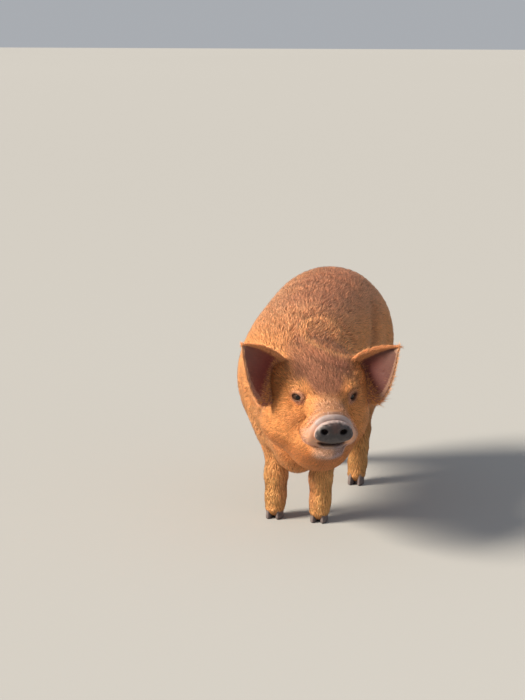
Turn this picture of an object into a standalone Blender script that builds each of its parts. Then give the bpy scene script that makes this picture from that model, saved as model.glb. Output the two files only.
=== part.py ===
"""A young kunekune pig standing still with its head turned to its left, in the parts a person would name."""

import math

import bpy
import numpy as np
from mathutils import Matrix, Vector

GAP = 0.0003            # clearance between touching pieces
BODY_VOXEL = 0.0075     # grid of the body before it is thinned
BODY_FACES = 3300       # triangles of the body before it is parted
HEAD_KEPT = 0.10        # how much more of the head than of the body is kept

# The pig's own frame: X to the pig's left, Y towards its tail, Z up, the floor at Z = 0 and the
# point midway between the front feet at X = Y = 0.  Metres.
DEG = math.pi / 180.0

# head: the frame sits midway between the eyes; r = pig's left, f = along the snout, u = up
HEAD_AT = (0.1074, -0.2172, 0.3483)
HEAD_YAW = 24.5          # turned to the pig's left
HEAD_PITCH = 12.0        # nose carried a little low
HEAD_ROLL = -1.9         # the right ear a touch higher


def head_axes():
    y, p = HEAD_YAW * DEG, HEAD_PITCH * DEG
    fwd = np.array([math.sin(y), -math.cos(y), 0.0])
    r = np.array([math.cos(y), math.sin(y), 0.0])
    f = fwd * math.cos(p) - np.array([0, 0, 1.0]) * math.sin(p)
    u = np.cross(r, f)
    if u[2] < 0:
        u = -u
    t = HEAD_ROLL * DEG
    r, u = r * math.cos(t) + u * math.sin(t), u * math.cos(t) - r * math.sin(t)
    return np.stack([r, f, u])          # rows


HEAD_ROT = head_axes()


def to_head(p):
    return (p - np.array(HEAD_AT)) @ HEAD_ROT.T


def from_head(q):
    return np.asarray(q, float) @ HEAD_ROT + np.array(HEAD_AT)


# ---- trunk: name, centre, radii, pitch in degrees (tail end up), blend ----
TRUNK = [
    ("ribs",      (-0.011, 0.150, 0.353), (0.158, 0.220, 0.170), 10.0, 0.05),
    ("loin",      (-0.006, 0.335, 0.375), (0.159, 0.190, 0.175),  4.0, 0.07),
    ("withers",   (-0.004, 0.020, 0.329), (0.137, 0.140, 0.140), 12.0, 0.07),
    ("belly",     (-0.001, 0.205, 0.263), (0.106, 0.205, 0.132),  3.0, 0.07),
    ("rump",      (0.002, 0.432, 0.354), (0.129, 0.122, 0.161), -8.0, 0.07),
    ("brisket",   (0.008, -0.040, 0.215), (0.067, 0.090, 0.092), 0.0, 0.05),
    ("neck_low",  (0.024, -0.045, 0.335), (0.118, 0.112, 0.122), 0.0, 0.06),
    ("neck_high", (0.052, -0.110, 0.338), (0.112, 0.095, 0.104), 0.0, 0.06),
]
# paired masses of the trunk, given for the pig's left
TRUNK_PAIRS = [
    ("shoulder",  (0.070, 0.020, 0.281), (0.035, 0.084, 0.111), 0.0, 0.045),
    ("ham",       (0.074, 0.420, 0.302), (0.060, 0.112, 0.144), 0.0, 0.05),
]

# ---- legs: joints from the top down as (x, y, z, radius), for the pig's left; the foot is at FEET ----
FORE_X = 0.052
FEET = {"fore_left": (FORE_X, -0.004), "fore_right": (-0.057, 0.000),
        "hind_left": (0.080, 0.316), "hind_right": (-0.083, 0.445)}


def leg_joints(name):
    side = 1.0 if name.endswith("left") else -1.0
    x, y = FEET[name]
    if name.startswith("fore"):
        return [(side * 0.072, y + 0.040, 0.215, 0.0445), (side * 0.056, y + 0.022, 0.150, 0.0325),
                (x, y + 0.006, 0.100, 0.0290), (x, y + 0.007, 0.064, 0.0255), (x, y + 0.002, 0.044, 0.0262),
                (x, y - 0.006, 0.026, 0.0235)]
    back = 0.060 if side > 0 else 0.035      # how far the hock lies behind the foot
    return [(side * 0.078, 0.365 + 0.20 * (y - 0.38), 0.225, 0.0520),
            (side * 0.074, y + back - 0.012, 0.165, 0.0350),
            (side * 0.078, y + back, 0.130, 0.0285), (side * 0.080, y + back * 0.55, 0.085, 0.0245),
            (x, y + 0.012, 0.050, 0.0255), (x, y - 0.002, 0.027, 0.0235)]


# ---- tail: hangs from the rump with one loose curl ----
TAIL_ROOT = (0.0, 0.532, 0.452)
TAIL_LENGTH = 0.150


def tail_points(n=14):
    pts = []
    for i in range(n):
        t = i / (n - 1)
        pts.append((TAIL_ROOT[0] + 0.024 * t * math.sin(1.5 * math.pi * t),
                    TAIL_ROOT[1] + 0.042 * math.sin(0.5 * math.pi * min(1.0, 1.7 * t)) + 0.006 * t,
                    TAIL_ROOT[2] - TAIL_LENGTH * (0.25 * t + 0.75 * t * t)))
    return pts


# ---- head masses in the head frame: name, centre, radii, pitch (front up), blend ----
HEAD = [
    ("cranium",   (0.000, -0.082, -0.008), (0.092, 0.086, 0.066),  0.0, 0.03),
    ("forehead",  (0.000, -0.026, 0.000), (0.064, 0.056, 0.036), -12.0, 0.03),
    ("bridge",    (0.000,  0.036, -0.018), (0.040, 0.066, 0.030), -8.0, 0.03),
    ("muzzle",    (0.000,  0.056, -0.038), (0.050, 0.046, 0.034),  0.0, 0.025),
    ("snout",     (0.000,  0.088, -0.038), (0.0425, 0.036, 0.0305),  0.0, 0.012),
    ("jaw",       (0.000, -0.010, -0.098), (0.066, 0.082, 0.044),  0.0, 0.03),
    ("chin",      (0.000,  0.060, -0.087), (0.034, 0.034, 0.021),  0.0, 0.018),
    ("throat",    (0.006, -0.044, -0.128), (0.074, 0.072, 0.066),  0.0, 0.04),
]
HEAD_PAIRS = [
    ("temple",    (0.070, -0.086, 0.016), (0.032, 0.036, 0.034), 0.0, 0.03),
    ("cheek",     (0.062, -0.052, -0.052), (0.048, 0.060, 0.056), 0.0, 0.030),
    ("jowl",      (0.072, -0.084, -0.092), (0.050, 0.060, 0.054), 0.0, 0.035),
    ("lip",       (0.038,  0.054, -0.055), (0.028, 0.034, 0.027), 0.0, 0.014),
    ("brow",      (0.050, -0.020, 0.019), (0.026, 0.024, 0.010), 0.0, 0.026),
]
SOCKET = (0.0900, 0.012, 0.000), (0.028, 0.024, 0.022), 0.020      # hollow round the eye
SNOUT_FACE = 0.1085      # the flat front of the snout, along f
EYE = (0.0550, -0.012, 0.0035)    # centre of the eyeball, from the middle of the two
EYE_ASIDE = -0.0022               # the middle of the two lies this far to the side of the snout's line
EYE_R = 0.0145
EYE_LOOK = np.array((0.60, 0.78, 0.10))        # where the left eye faces
LID = 0.0038                                   # thickness of the lids over the eyeball
EYE_SLIT = (0.0120, 0.0077)                    # half width and half height of the opening
EYE_TILT = 12.0                                # the outer corner lies lower

# ---- ear, pig's left, in the head frame ----
EAR_TOP = np.array((0.068, -0.090, 0.044))      # where its upper edge leaves the head
EAR_LOW = np.array((0.101, -0.056, -0.020))     # where its lower edge leaves the head
EAR_TIPS = {1: np.array((0.165, -0.054, 0.1022)), -1: np.array((0.1845, -0.052, 0.1108))}
EAR_CUP = 0.030
EAR_THICK = (0.0085, 0.0040)                    # at the root and at the tip


def ear_point(s, t, side):
    """s runs from the upper edge (0) to the lower one (1), t from the root (0) to the tip (1); given as for the pig's left."""
    tip = EAR_TIPS[side]
    mid = (EAR_TOP + EAR_LOW) / 2
    w = (1 - t ** 1.7) * 0.96 + 0.04
    edge = np.stack([EAR_TOP + (EAR_LOW - EAR_TOP) * v for v in s]) - mid
    p = mid + (tip - mid) * t[:, None] + edge * w[:, None]
    out = tip - mid
    out = out / np.linalg.norm(out)
    down = EAR_LOW - EAR_TOP
    down = down / np.linalg.norm(down)
    p += down * (0.028 * np.sin(np.pi * t ** 0.5) * s ** 3)[:, None]
    p += down * (0.011 * np.sin(np.pi * t) * s ** 2)[:, None]
    p -= down * (0.004 * np.sin(np.pi * t) * (1 - s) ** 2)[:, None]
    deep = EAR_CUP * np.sin(np.pi * s) ** 1.2 * (1 - 0.75 * t)
    p[:, 1] -= deep
    p[:, 1] += 0.010 * t ** 2
    return p

# ---- functions ----
def ellipsoid(p, c, r, pitch=0.0):
    q = p - np.asarray(c, p.dtype)
    if pitch:
        a = pitch * DEG
        y = q[:, 1] * math.cos(a) + q[:, 2] * math.sin(a)
        z = -q[:, 1] * math.sin(a) + q[:, 2] * math.cos(a)
        q = np.stack([q[:, 0], y, z], 1)
    r = np.asarray(r, p.dtype)
    s = q / r
    k0 = np.sqrt((s * s).sum(1))
    s = s / r
    k1 = np.sqrt((s * s).sum(1)) + 1e-6
    return k0 * (k0 - 1.0) / k1


def limb(p, a, b):
    """A tapering round stretch from a to b, each (x, y, z, radius)."""
    pa = p - np.asarray(a[:3], p.dtype)
    ab = np.asarray(b[:3], p.dtype) - np.asarray(a[:3], p.dtype)
    t = np.clip(pa @ ab / float(ab @ ab), 0, 1)
    d = pa - t[:, None] * ab
    return np.sqrt((d * d).sum(1)) - (a[3] + (b[3] - a[3]) * t)


def join(a, b, k):
    h = np.clip(0.5 + 0.5 * (b - a) / k, 0, 1)
    return b + (a - b) * h - k * h * (1 - h)


def carve(a, b, k):
    """a with b taken out of it."""
    return -join(-a, b, k)


def mirrored(c):
    return (-c[0], c[1], c[2])


def trunk_distance(p):
    d = None
    for _, c, r, pitch, k in TRUNK:
        e = ellipsoid(p, c, r, pitch)
        d = e if d is None else join(d, e, k)
    for _, c, r, pitch, k in TRUNK_PAIRS:
        for cc in (c, mirrored(c)):
            d = join(d, ellipsoid(p, cc, r, pitch), k)
    return d


def leg_distance(p, name):
    j = leg_joints(name)
    d = None
    for a, b in zip(j, j[1:]):
        e = limb(p, a, b)
        d = e if d is None else join(d, e, 0.010)
    return d


def tail_distance(p):
    pts = tail_points()
    n = len(pts)
    d = None
    for i in range(n - 1):
        ra, rb = (0.0145 - 0.0105 * (i + s) / (n - 1) for s in (0, 1))
        e = limb(p, (*pts[i], ra), (*pts[i + 1], rb))
        d = e if d is None else join(d, e, 0.004)
    return d


def head_distance(p):
    q = to_head(p).astype(p.dtype)
    d = None
    for _, c, r, pitch, k in HEAD:
        e = ellipsoid(q, c, r, pitch)
        d = e if d is None else join(d, e, k)
    for _, c, r, pitch, k in HEAD_PAIRS:
        for cc in (c, mirrored(c)):
            d = join(d, ellipsoid(q, cc, r, pitch), k)
    c, r, k = SOCKET
    for cc in (c, mirrored(c)):
        d = carve(d, ellipsoid(q, cc, r), k)
    for side in (1, -1):
        d = join(d, ellipsoid(q, eye_at(side), (EYE_R + LID,) * 3), 0.015)
    return carve(d, SNOUT_FACE - q[:, 1], 0.008)


def eye_at(side):
    return side * EYE[0] + EYE_ASIDE, EYE[1], EYE[2]


def eye_axes(side):
    """Rows: across the opening, the way the eye faces, up the opening; in the head frame."""
    look = EYE_LOOK * np.array((side, 1, 1))
    look = look / np.linalg.norm(look)
    across = np.cross(look, np.array((0, 0, 1.0))) * side
    across /= np.linalg.norm(across)
    high = np.cross(across, look) * side
    t = EYE_TILT * DEG
    across, high = across * math.cos(t) + high * math.sin(t), high * math.cos(t) - across * math.sin(t)
    return np.stack([across, look, high])


def body_distance(p):
    d = trunk_distance(p)
    for name in FEET:
        d = join(d, leg_distance(p, name), 0.030)
    return join(d, head_distance(p), 0.045)

# ---- where the body is parted: name, point on the cut, normal of the cut, half sizes across it ----
SNOUT_CUT = 0.094        # along the head's f axis
HEAD_CUT = -0.122
NECK_AT, NECK_NORMAL = (0.020, -0.082, 0.300), (0.24, -0.92, 0.30)
# the leg's region: upper middle and radius, lower middle and radius, on the pig's left
FORE_PART = (0.084, 0.028, 0.210, 0.072), (0.062, 0.000, 0.040, 0.052)
HIND_PART = (0.096, 0.388, 0.238, 0.084), (0.088, 0.354, 0.050, 0.070)
MOUTH = [(0.150, -0.0710), (0.012, -0.0680), (0.024, -0.230)]      # (f, u) in the head frame
NOSTRIL = (0.0200, 0.1110, -0.0270), (0.0078, 0.0150, 0.0056)
CORONET = 0.0270                        # middle of the hoof's upper edge
CORONET_SLOPE = 0.16                    # it rises towards the front

# ---- hooves ----
CLAW_WIDE, CLAW_LONG, CLAW_APART = 0.0205, 0.0440, 0.0030
CLAW_SPLAY = 5.0
DEW_RADIUS, DEW_LONG = 0.0072, 0.0200

EAR_STEPS = (7, 8)

SCENE = bpy.context.scene
for old in list(bpy.data.objects):
    bpy.data.objects.remove(old)
HELPERS = bpy.data.collections.new("helpers")
SCENE.collection.children.link(HELPERS)
HELPERS.hide_render = True


def material(name, colour, roughness, coat=0.0):
    m = bpy.data.materials.new(name)
    m.use_nodes = True
    s = m.node_tree.nodes["Principled BSDF"]
    s.inputs["Base Color"].default_value = (*colour, 1.0)
    s.inputs["Roughness"].default_value = roughness
    s.inputs["Metallic"].default_value = 0.0
    s.inputs["Coat Weight"].default_value = coat
    m.diffuse_color = (*colour, 1.0)
    return m


COAT = material("ginger_coat", (0.52, 0.215, 0.075), 0.75)
FACE = material("ginger_face", (0.50, 0.20, 0.075), 0.75)
LEGS = material("cream_leg", (0.58, 0.33, 0.14), 0.75)
EARS = material("ear_hide", (0.36, 0.15, 0.085), 0.7)
DISC = material("snout_hide", (0.085, 0.062, 0.064), 0.5)
EYES = material("eye", (0.016, 0.011, 0.010), 0.08, 1.0)
HORN = material("hoof_horn", (0.15, 0.115, 0.11), 0.55)


def place(obj):
    if obj.name not in SCENE.collection.objects:
        SCENE.collection.objects.link(obj)
    return obj


def helper(obj):
    for c in list(obj.users_collection):
        c.objects.unlink(obj)
    HELPERS.objects.link(obj)
    obj.hide_render = True
    obj.display_type = "WIRE"
    return obj


def coords(mesh):
    v = np.empty(len(mesh.vertices) * 3)
    mesh.vertices.foreach_get("co", v)
    return v.reshape(-1, 3)


def set_coords(mesh, v):
    mesh.vertices.foreach_set("co", np.ascontiguousarray(v, dtype=np.float32).ravel())
    mesh.update()


def apply_all(obj):
    """Keeps the object's evaluated shape as its mesh."""
    graph = bpy.context.evaluated_depsgraph_get()
    graph.update()
    mesh = bpy.data.meshes.new_from_object(obj.evaluated_get(graph))
    mesh.transform(obj.matrix_world)
    obj.modifiers.clear()
    obj.matrix_world = Matrix.Identity(4)
    obj.data = mesh
    return obj


def ball(name, centre, radii, turn=None, segments=24, rings=16):
    bpy.ops.mesh.primitive_uv_sphere_add(segments=segments, ring_count=rings, radius=1.0)
    obj = bpy.context.object
    obj.name = name
    m = Matrix.Translation(Vector(centre))
    if turn is not None:
        m = m @ Matrix([list(row) for row in turn]).to_4x4()
    m = m @ Matrix.Diagonal((*radii, 1.0))
    obj.data.transform(m)
    if m.determinant() < 0:
        obj.data.flip_normals()
    return obj


def slab(name, at, normal, across, along, thick=GAP, shift=0.0):
    """A flat box of the given thickness through a point: across and along are its half sizes."""
    bpy.ops.mesh.primitive_cube_add(size=2.0)
    obj = bpy.context.object
    obj.name = name
    n = Vector(normal).normalized()
    turn = n.to_track_quat("Z", "Y").to_matrix().to_4x4()
    centre = Vector(at) + n * shift
    obj.data.transform(Matrix.Translation(centre) @ turn @ Matrix.Diagonal((across, along, thick / 2, 1.0)))
    return helper(obj)


def cut(obj, cutter, operation="DIFFERENCE"):
    m = obj.modifiers.new("cut", "BOOLEAN")
    m.operation = operation
    m.solver = "EXACT"
    m.object = cutter
    return apply_all(obj)


def fitted(points, distance, steps=6, limit=0.02):
    """Moves points onto the surface where the distance is zero."""
    p = points.copy()
    e = 0.0006
    for _ in range(steps):
        d = distance(p)
        g = np.stack([distance(p + e * v) - distance(p - e * v) for v in np.eye(3)], 1) / (2 * e)
        n2 = (g * g).sum(1)
        p -= np.clip(d / np.maximum(n2, 0.05), -limit, limit)[:, None] * g
    return p


# ---- the body in clay: one ball or tapered bar for each mass ----
def clay_balls():
    made = []
    for name, c, r, pitch, _ in TRUNK + [(n, c, r, p, k) for n, c, r, p, k in TRUNK_PAIRS]:
        turn = Matrix.Rotation(pitch * DEG, 3, "X")
        made.append(ball(name, c, r, turn))
        if any(name == q[0] for q in TRUNK_PAIRS):
            made.append(ball(name, mirrored(c), r, turn))
    frame = Matrix([list(row) for row in HEAD_ROT]).transposed()
    for name, c, r, pitch, _ in HEAD + HEAD_PAIRS:
        turn = frame @ Matrix.Rotation(pitch * DEG, 3, "X")
        made.append(ball(name, from_head(c), r, turn))
        if any(name == q[0] for q in HEAD_PAIRS):
            made.append(ball(name, from_head(mirrored(c)), r, turn))
    return made


def clay_bar(name, joints):
    """A bevelled curve through the joints, turned to a mesh."""
    curve = bpy.data.curves.new(name, "CURVE")
    curve.dimensions = "3D"
    curve.bevel_depth = 1.0
    curve.bevel_resolution = 2
    curve.use_fill_caps = True
    line = curve.splines.new("POLY")
    line.points.add(len(joints) - 1)
    for q, (x, y, z, r) in zip(line.points, joints):
        q.co = (x, y, z, 1.0)
        q.radius = r
    obj = place(bpy.data.objects.new(name, curve))
    graph = bpy.context.evaluated_depsgraph_get()
    mesh = bpy.data.meshes.new_from_object(obj.evaluated_get(graph))
    bpy.data.objects.remove(obj)
    return place(bpy.data.objects.new(name, mesh))


def tail_joints():
    pts = tail_points()
    n = len(pts)
    return [(*q, 0.0145 - 0.0105 * i / (n - 1)) for i, q in enumerate(pts)]


def joined(name, objects):
    verts, faces, at = [], [], 0
    for o in objects:
        v = coords(o.data)
        verts.append(v)
        faces += [tuple(at + i for i in p.vertices) for p in o.data.polygons]
        at += len(v)
        bpy.data.objects.remove(o)
    mesh = bpy.data.meshes.new(name)
    mesh.from_pydata(np.concatenate(verts).tolist(), [], faces)
    mesh.update()
    return place(bpy.data.objects.new(name, mesh))


def body():
    pieces = clay_balls()
    for name in FEET:
        pieces.append(clay_bar(name, leg_joints(name)))
        x, y, z, r = leg_joints(name)[-1]
        pieces.append(ball(name, (x, y, z), (r, r, r)))
    obj = joined("body", pieces)
    m = obj.modifiers.new("clay", "REMESH")
    m.mode = "VOXEL"
    m.voxel_size = BODY_VOXEL
    apply_all(obj)
    set_coords(obj.data, fitted(coords(obj.data), body_distance))
    m = obj.modifiers.new("even", "SMOOTH")
    m.factor, m.iterations = 0.5, 2
    apply_all(obj)
    set_coords(obj.data, fitted(coords(obj.data), body_distance, 3))
    g = obj.vertex_groups.new(name="spare")
    q = to_head(coords(obj.data))
    near = np.clip((q[:, 1] + 0.13) / 0.05, 0, 1)
    for i, w in enumerate(near):
        g.add([i], 1.0 - HEAD_KEPT * float(w), "REPLACE")
    m = obj.modifiers.new("thin", "DECIMATE")
    m.vertex_group = "spare"
    m.vertex_group_factor = 0.001
    m.ratio = BODY_FACES / (2.0 * len(obj.data.polygons))
    m.use_collapse_triangulate = True
    apply_all(obj)
    obj.vertex_groups.clear()
    return obj


# ---- eyes, ears ----
def eye(side, radius=EYE_R):
    o = ball("eye", from_head(eye_at(side)), (radius,) * 3, Matrix([list(r) for r in HEAD_ROT]).transposed(), 14, 10)
    return o


def eye_opening(side):
    """The almond gap between the lids."""
    axes = eye_axes(side)
    at = np.array(eye_at(side)) + axes[1] * (EYE_R + LID)
    turn = Matrix([list(r) for r in axes @ HEAD_ROT]).transposed()
    return ball("lids", from_head(at), (EYE_SLIT[0], 0.012, EYE_SLIT[1]), turn, 16, 10)


def ear(side):
    """A grid cube whose two broad sides are laid on the ear's cupped sheet."""
    ns, nt = EAR_STEPS
    bpy.ops.mesh.primitive_grid_add(x_subdivisions=ns, y_subdivisions=nt, size=2.0)
    o = bpy.context.object
    v = coords(o.data)
    s, t = (v[:, 0] + 1) / 2, (v[:, 1] + 1) / 2
    t = -0.12 + 1.12 * t
    root, tip = EAR_THICK
    m = o.modifiers.new("thick", "SOLIDIFY")
    m.thickness = root
    m.offset = 0.0
    set_coords(o.data, v)
    apply_all(o)
    v = coords(o.data)
    s, t, side_of = (v[:, 0] + 1) / 2, -0.12 + 1.12 * (v[:, 1] + 1) / 2, np.sign(v[:, 2])
    tt = np.maximum(t, 0)
    e = 1e-3
    p = ear_point(s, tt, side)
    along = ear_point(s, np.minimum(tt + e, 1), side) - ear_point(s, np.minimum(tt + e, 1) - e, side)
    cross = ear_point(np.minimum(s + e, 1), tt, side) - ear_point(np.minimum(s + e, 1) - e, tt, side)
    n = np.cross(cross, along)
    n /= np.linalg.norm(n, axis=1)[:, None] + 1e-12
    p += np.minimum(t, 0)[:, None] * (EAR_TIPS[side] - (EAR_TOP + EAR_LOW) / 2)
    rim = np.minimum(1.0, 0.45 + 1.6 * np.minimum(np.minimum(s, 1 - s) * 2, (1 - tt) * 2))
    th = (root + (tip - root) * tt) * rim
    p += n * (side_of * th / 2)[:, None]
    p[:, 0] *= side
    set_coords(o.data, from_head(p))
    o.name = "ear"
    return o


# ---- hooves: a cylinder primitive drawn to a claw's outline, its sole flat on the floor ----
def foot_frame(name):
    x, y = FEET[name]
    return x, y - 0.003


def coronet_height(y, foot_y):
    return CORONET - CORONET_SLOPE * (y - foot_y)


def claw(name, inner):
    """One of the two claws of a foot; inner = -1 for the one on the pig's right, +1 for its left."""
    x0, y0 = foot_frame(name)
    bpy.ops.mesh.primitive_cylinder_add(vertices=14, radius=1.0, depth=2.0, end_fill_type="NGON")
    o = bpy.context.object
    bpy.ops.object.mode_set(mode="EDIT")
    bpy.ops.mesh.select_all(action="SELECT")
    bpy.ops.object.mode_set(mode="OBJECT")
    v = coords(o.data)
    a, b, h = v[:, 0], v[:, 1], (v[:, 2] + 1) / 2      # h = 0 at the sole, 1 at the coronet
    # a flat inner side, a rounded outer one and a toe drawn to a blunt point
    wide, long = CLAW_WIDE / 2, CLAW_LONG / 2
    out = inner * a
    x = np.where(out < 0, out * 0.72, out)
    toe = np.clip(-b, 0, 1)
    x = x * (1 - 0.30 * toe ** 2)
    grow = 1.06 - 0.10 * h
    px = x * wide * grow + wide * 0.78
    py = b * long * (1.04 - 0.12 * h) - 0.0065 * (1 - h) + 0.002
    ang = CLAW_SPLAY * DEG
    qx = px * math.cos(ang) - py * math.sin(ang) + CLAW_APART / 2
    qy = py * math.cos(ang) + px * math.sin(ang)
    X = x0 + inner * qx
    Y = y0 + qy
    Z = h * (coronet_height(Y, y0) - GAP)
    set_coords(o.data, np.stack([X, Y, Z], 1))
    m = o.modifiers.new("edge", "BEVEL")
    m.width = 0.0012
    m.segments = 1
    m.limit_method = "ANGLE"
    m.angle_limit = 50 * DEG
    apply_all(o)
    if signed_volume(o.data) < 0:
        o.data.flip_normals()
    return o


def dewclaw(name, inner):
    x0, y0 = foot_frame(name)
    o = ball("dew", (0, 0, 0), (1, 1, 1), None, 10, 6)
    v = coords(o.data)
    taper = np.where(v[:, 2] < 0, 1 - 0.35 * v[:, 2] ** 2, 1.0)
    p = v * np.array((DEW_RADIUS, DEW_RADIUS * 0.85, DEW_LONG / 2))
    p[:, :2] *= taper[:, None]
    tilt = Matrix.Rotation(-24 * DEG, 3, "X") @ Matrix.Rotation(inner * 10 * DEG, 3, "Y")
    p = p @ np.array(tilt).T
    p += np.array((x0 + inner * 0.0135, y0 + (0.0275 if name.startswith("fore") else 0.0350), 0.0400))
    set_coords(o.data, p)
    return o


def signed_volume(mesh):
    mesh.calc_loop_triangles()
    t = np.empty(len(mesh.loop_triangles) * 3, np.int32)
    mesh.loop_triangles.foreach_get("vertices", t)
    v = coords(mesh)[t.reshape(-1, 3)]
    return float(np.einsum("ij,ij->i", v[:, 0], np.cross(v[:, 1], v[:, 2])).sum() / 6)


def grown(obj, by):
    """A copy of the object, larger by a clearance, to cut with."""
    copy = helper(place(bpy.data.objects.new(obj.name + "_fit", obj.data.copy())))
    m = copy.modifiers.new("clear", "DISPLACE")
    m.strength = by
    m.mid_level = 0.0
    return apply_all(copy)


def islands(obj):
    """The loose pieces of a mesh, as objects."""
    bpy.ops.object.select_all(action="DESELECT")
    obj.select_set(True)
    bpy.context.view_layer.objects.active = obj
    before = set(bpy.data.objects)
    bpy.ops.mesh.separate(type="LOOSE")
    return [obj] + sorted(set(bpy.data.objects) - before, key=lambda o: o.name)



def bent_slab(name, path, half_width):
    """A thin sheet through the (f, u) points of the head frame, reaching to both sides."""
    bpy.ops.mesh.primitive_grid_add(x_subdivisions=1, y_subdivisions=len(path) - 1, size=2.0)
    o = bpy.context.object
    v = coords(o.data)
    k = np.rint((v[:, 1] + 1) / 2 * (len(path) - 1)).astype(int)
    q = np.stack([v[:, 0] * half_width, np.array(path)[k, 0], np.array(path)[k, 1]], 1)
    set_coords(o.data, from_head(q))
    m = o.modifiers.new("thick", "SOLIDIFY")
    m.thickness = GAP
    m.offset = 0.0
    m.use_even_offset = True
    apply_all(o)
    if signed_volume(o.data) < 0:
        o.data.flip_normals()
    return helper(o)


def region(name, a, b, clear):
    """A ball drawn out from a down to b, larger by clear."""
    o = ball(name, (0, 0, 0), (1, 1, 1), None, 16, 8)
    v = coords(o.data)
    low = np.clip(-v[:, 2] * 1e3, 0, 1)[:, None]
    a, b = np.array(a), np.array(b)
    p = v * (a[3] + (b[3] - a[3]) * low + clear) + a[:3] + (b[:3] - a[:3]) * low
    set_coords(o.data, p)
    return helper(o)


def middle(obj):
    v = coords(obj.data)
    return (v.min(0) + v.max(0)) / 2


def split_off(obj, cutter, key):
    """Cuts obj with the slab; returns (what stays, what comes off), told apart by key(middle)."""
    count = 1
    pieces = islands(cut(obj, cutter))
    pieces = [p for p in pieces if abs(signed_volume(p.data)) > 1e-8 or bpy.data.objects.remove(p)]
    if len(pieces) != 2:
        print("PARTING", cutter.name, "gave", len(pieces), [np.round(middle(p), 3).tolist() for p in pieces])
    pieces.sort(key=lambda p: key(middle(p)))
    return pieces[0], pieces[-1]


def largest(obj):
    """Only the largest loose piece of the object."""
    pieces = islands(obj)
    pieces.sort(key=lambda p: -abs(signed_volume(p.data)))
    for p in pieces[1:]:
        bpy.data.objects.remove(p)
    return pieces[0]


def name_it(obj, name, mat):
    obj.name = name
    obj.data.name = name
    obj.data.materials.clear()
    obj.data.materials.append(mat)
    obj.data.polygons.foreach_set("material_index", np.zeros(len(obj.data.polygons), np.int32))
    return obj


def build():
    whole = body()
    nodes = {}

    trunk = whole
    tail = largest(cut(clay_bar("tail", tail_joints()), grown(trunk, GAP)))
    nodes["tail"] = name_it(tail, "tail", COAT)

    for foot in FEET:
        side = 1 if foot.endswith("left") else -1
        top, low = FORE_PART if foot.startswith("fore") else HIND_PART
        back = FEET[foot][1] - (0.0 if foot.startswith("fore") else 0.345)
        ends = [(side * x, y + back * w, z, r) for (x, y, z, r), w in ((top, 0.35), (low, 1.0))]
        leg = place(bpy.data.objects.new(foot, trunk.data.copy()))
        leg = largest(cut(leg, region(foot + "_part", *ends, 0.0), "INTERSECT"))
        trunk = largest(cut(trunk, region(foot + "_room", *ends, GAP)))
        nodes[foot] = leg

    neck_side, trunk = split_off(trunk, slab("neck_cut", NECK_AT, NECK_NORMAL, 0.30, 0.30), lambda c: c[1])
    nodes["trunk"] = name_it(trunk, "trunk", COAT)

    head_at = from_head((0, HEAD_CUT, 0))
    head, neck = split_off(neck_side, slab("head_cut", head_at, HEAD_ROT[1], 0.30, 0.30), lambda c: -to_head(c[None])[0, 1])
    nodes["neck"] = name_it(neck, "neck", COAT)

    disc_at = from_head((0, SNOUT_CUT, -0.033))
    head, disc = split_off(head, slab("snout_cut", disc_at, HEAD_ROT[1], 0.070, 0.070), lambda c: to_head(c[None])[0, 1])
    head, jaw = split_off(head, bent_slab("mouth_cut", MOUTH, 0.115), lambda c: -to_head(c[None])[0, 2])
    nodes["lower_jaw"] = name_it(jaw, "lower_jaw", FACE)

    for side in (1, -1):
        (r, f, u), radii = NOSTRIL
        turn = Matrix([list(row) for row in HEAD_ROT]).transposed() @ Matrix.Rotation(side * 14 * DEG, 3, "Y") @ Matrix.Rotation(side * 12 * DEG, 3, "Z")
        disc = cut(disc, helper(ball("nostril_cut", from_head((side * r, f, u)), radii, turn, 12, 8)))
        word = "left" if side > 0 else "right"
        head = cut(head, helper(eye_opening(side)))
        head = cut(head, helper(eye(side, EYE_R + GAP)))
        nodes["eye_" + word] = name_it(eye(side), "eye_" + word, EYES)
    nodes["snout_disc"] = name_it(disc, "snout_disc", DISC)

    head_fit = grown(head, GAP)
    for side in (1, -1):
        word = "left" if side > 0 else "right"
        e = ear(side)
        if signed_volume(e.data) < 0:
            e.data.flip_normals()
        e = largest(cut(e, head_fit))
        nodes["ear_" + word] = name_it(e, "ear_" + word, EARS)
    nodes["head"] = name_it(head, "head", FACE)

    for foot in FEET:
        side = 1 if foot.endswith("left") else -1
        x0, y0 = foot_frame(foot)
        leg = nodes[foot]
        bpy.ops.mesh.primitive_cube_add(size=2.0)
        sole = bpy.context.object
        v = coords(sole.data) * np.array((0.06, 0.075, 1.0))
        v += np.array((x0, y0, 0.0))
        v[:, 2] = np.where(v[:, 2] > 0, coronet_height(v[:, 1], y0), -0.05)
        set_coords(sole.data, v)
        sole.name = foot + "_sole_cut"
        leg = largest(cut(leg, helper(sole)))
        fit = grown(leg, GAP)
        for inner, word in ((1, "left"), (-1, "right")):
            nodes[f"{foot}_claw_{word}"] = name_it(claw(foot, inner), f"{foot}_claw_{word}", HORN)
            d = largest(cut(dewclaw(foot, inner), fit))
            nodes[f"{foot}_dewclaw_{word}"] = name_it(d, f"{foot}_dewclaw_{word}", HORN)
        nodes[foot] = name_it(leg, foot + "_leg", LEGS)
    return nodes


def centre(nodes):
    """Puts the middle of the animal's box over the origin."""
    every = np.concatenate([coords(o.data) for o in nodes.values()])
    low, high = every.min(0), every.max(0)
    shift = np.array((-(low[0] + high[0]) / 2, -(low[1] + high[1]) / 2, -low[2]))
    for o in nodes.values():
        set_coords(o.data, coords(o.data) + shift)
    return shift


NODES = build()
SHIFT = centre(NODES)
print("SHIFT", np.round(SHIFT, 5).tolist())
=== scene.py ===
"""Looks of the young kunekune pig: one skin over the solids, its coat in solid tufts, eyes, hooves, floor and light."""

import math

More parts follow.
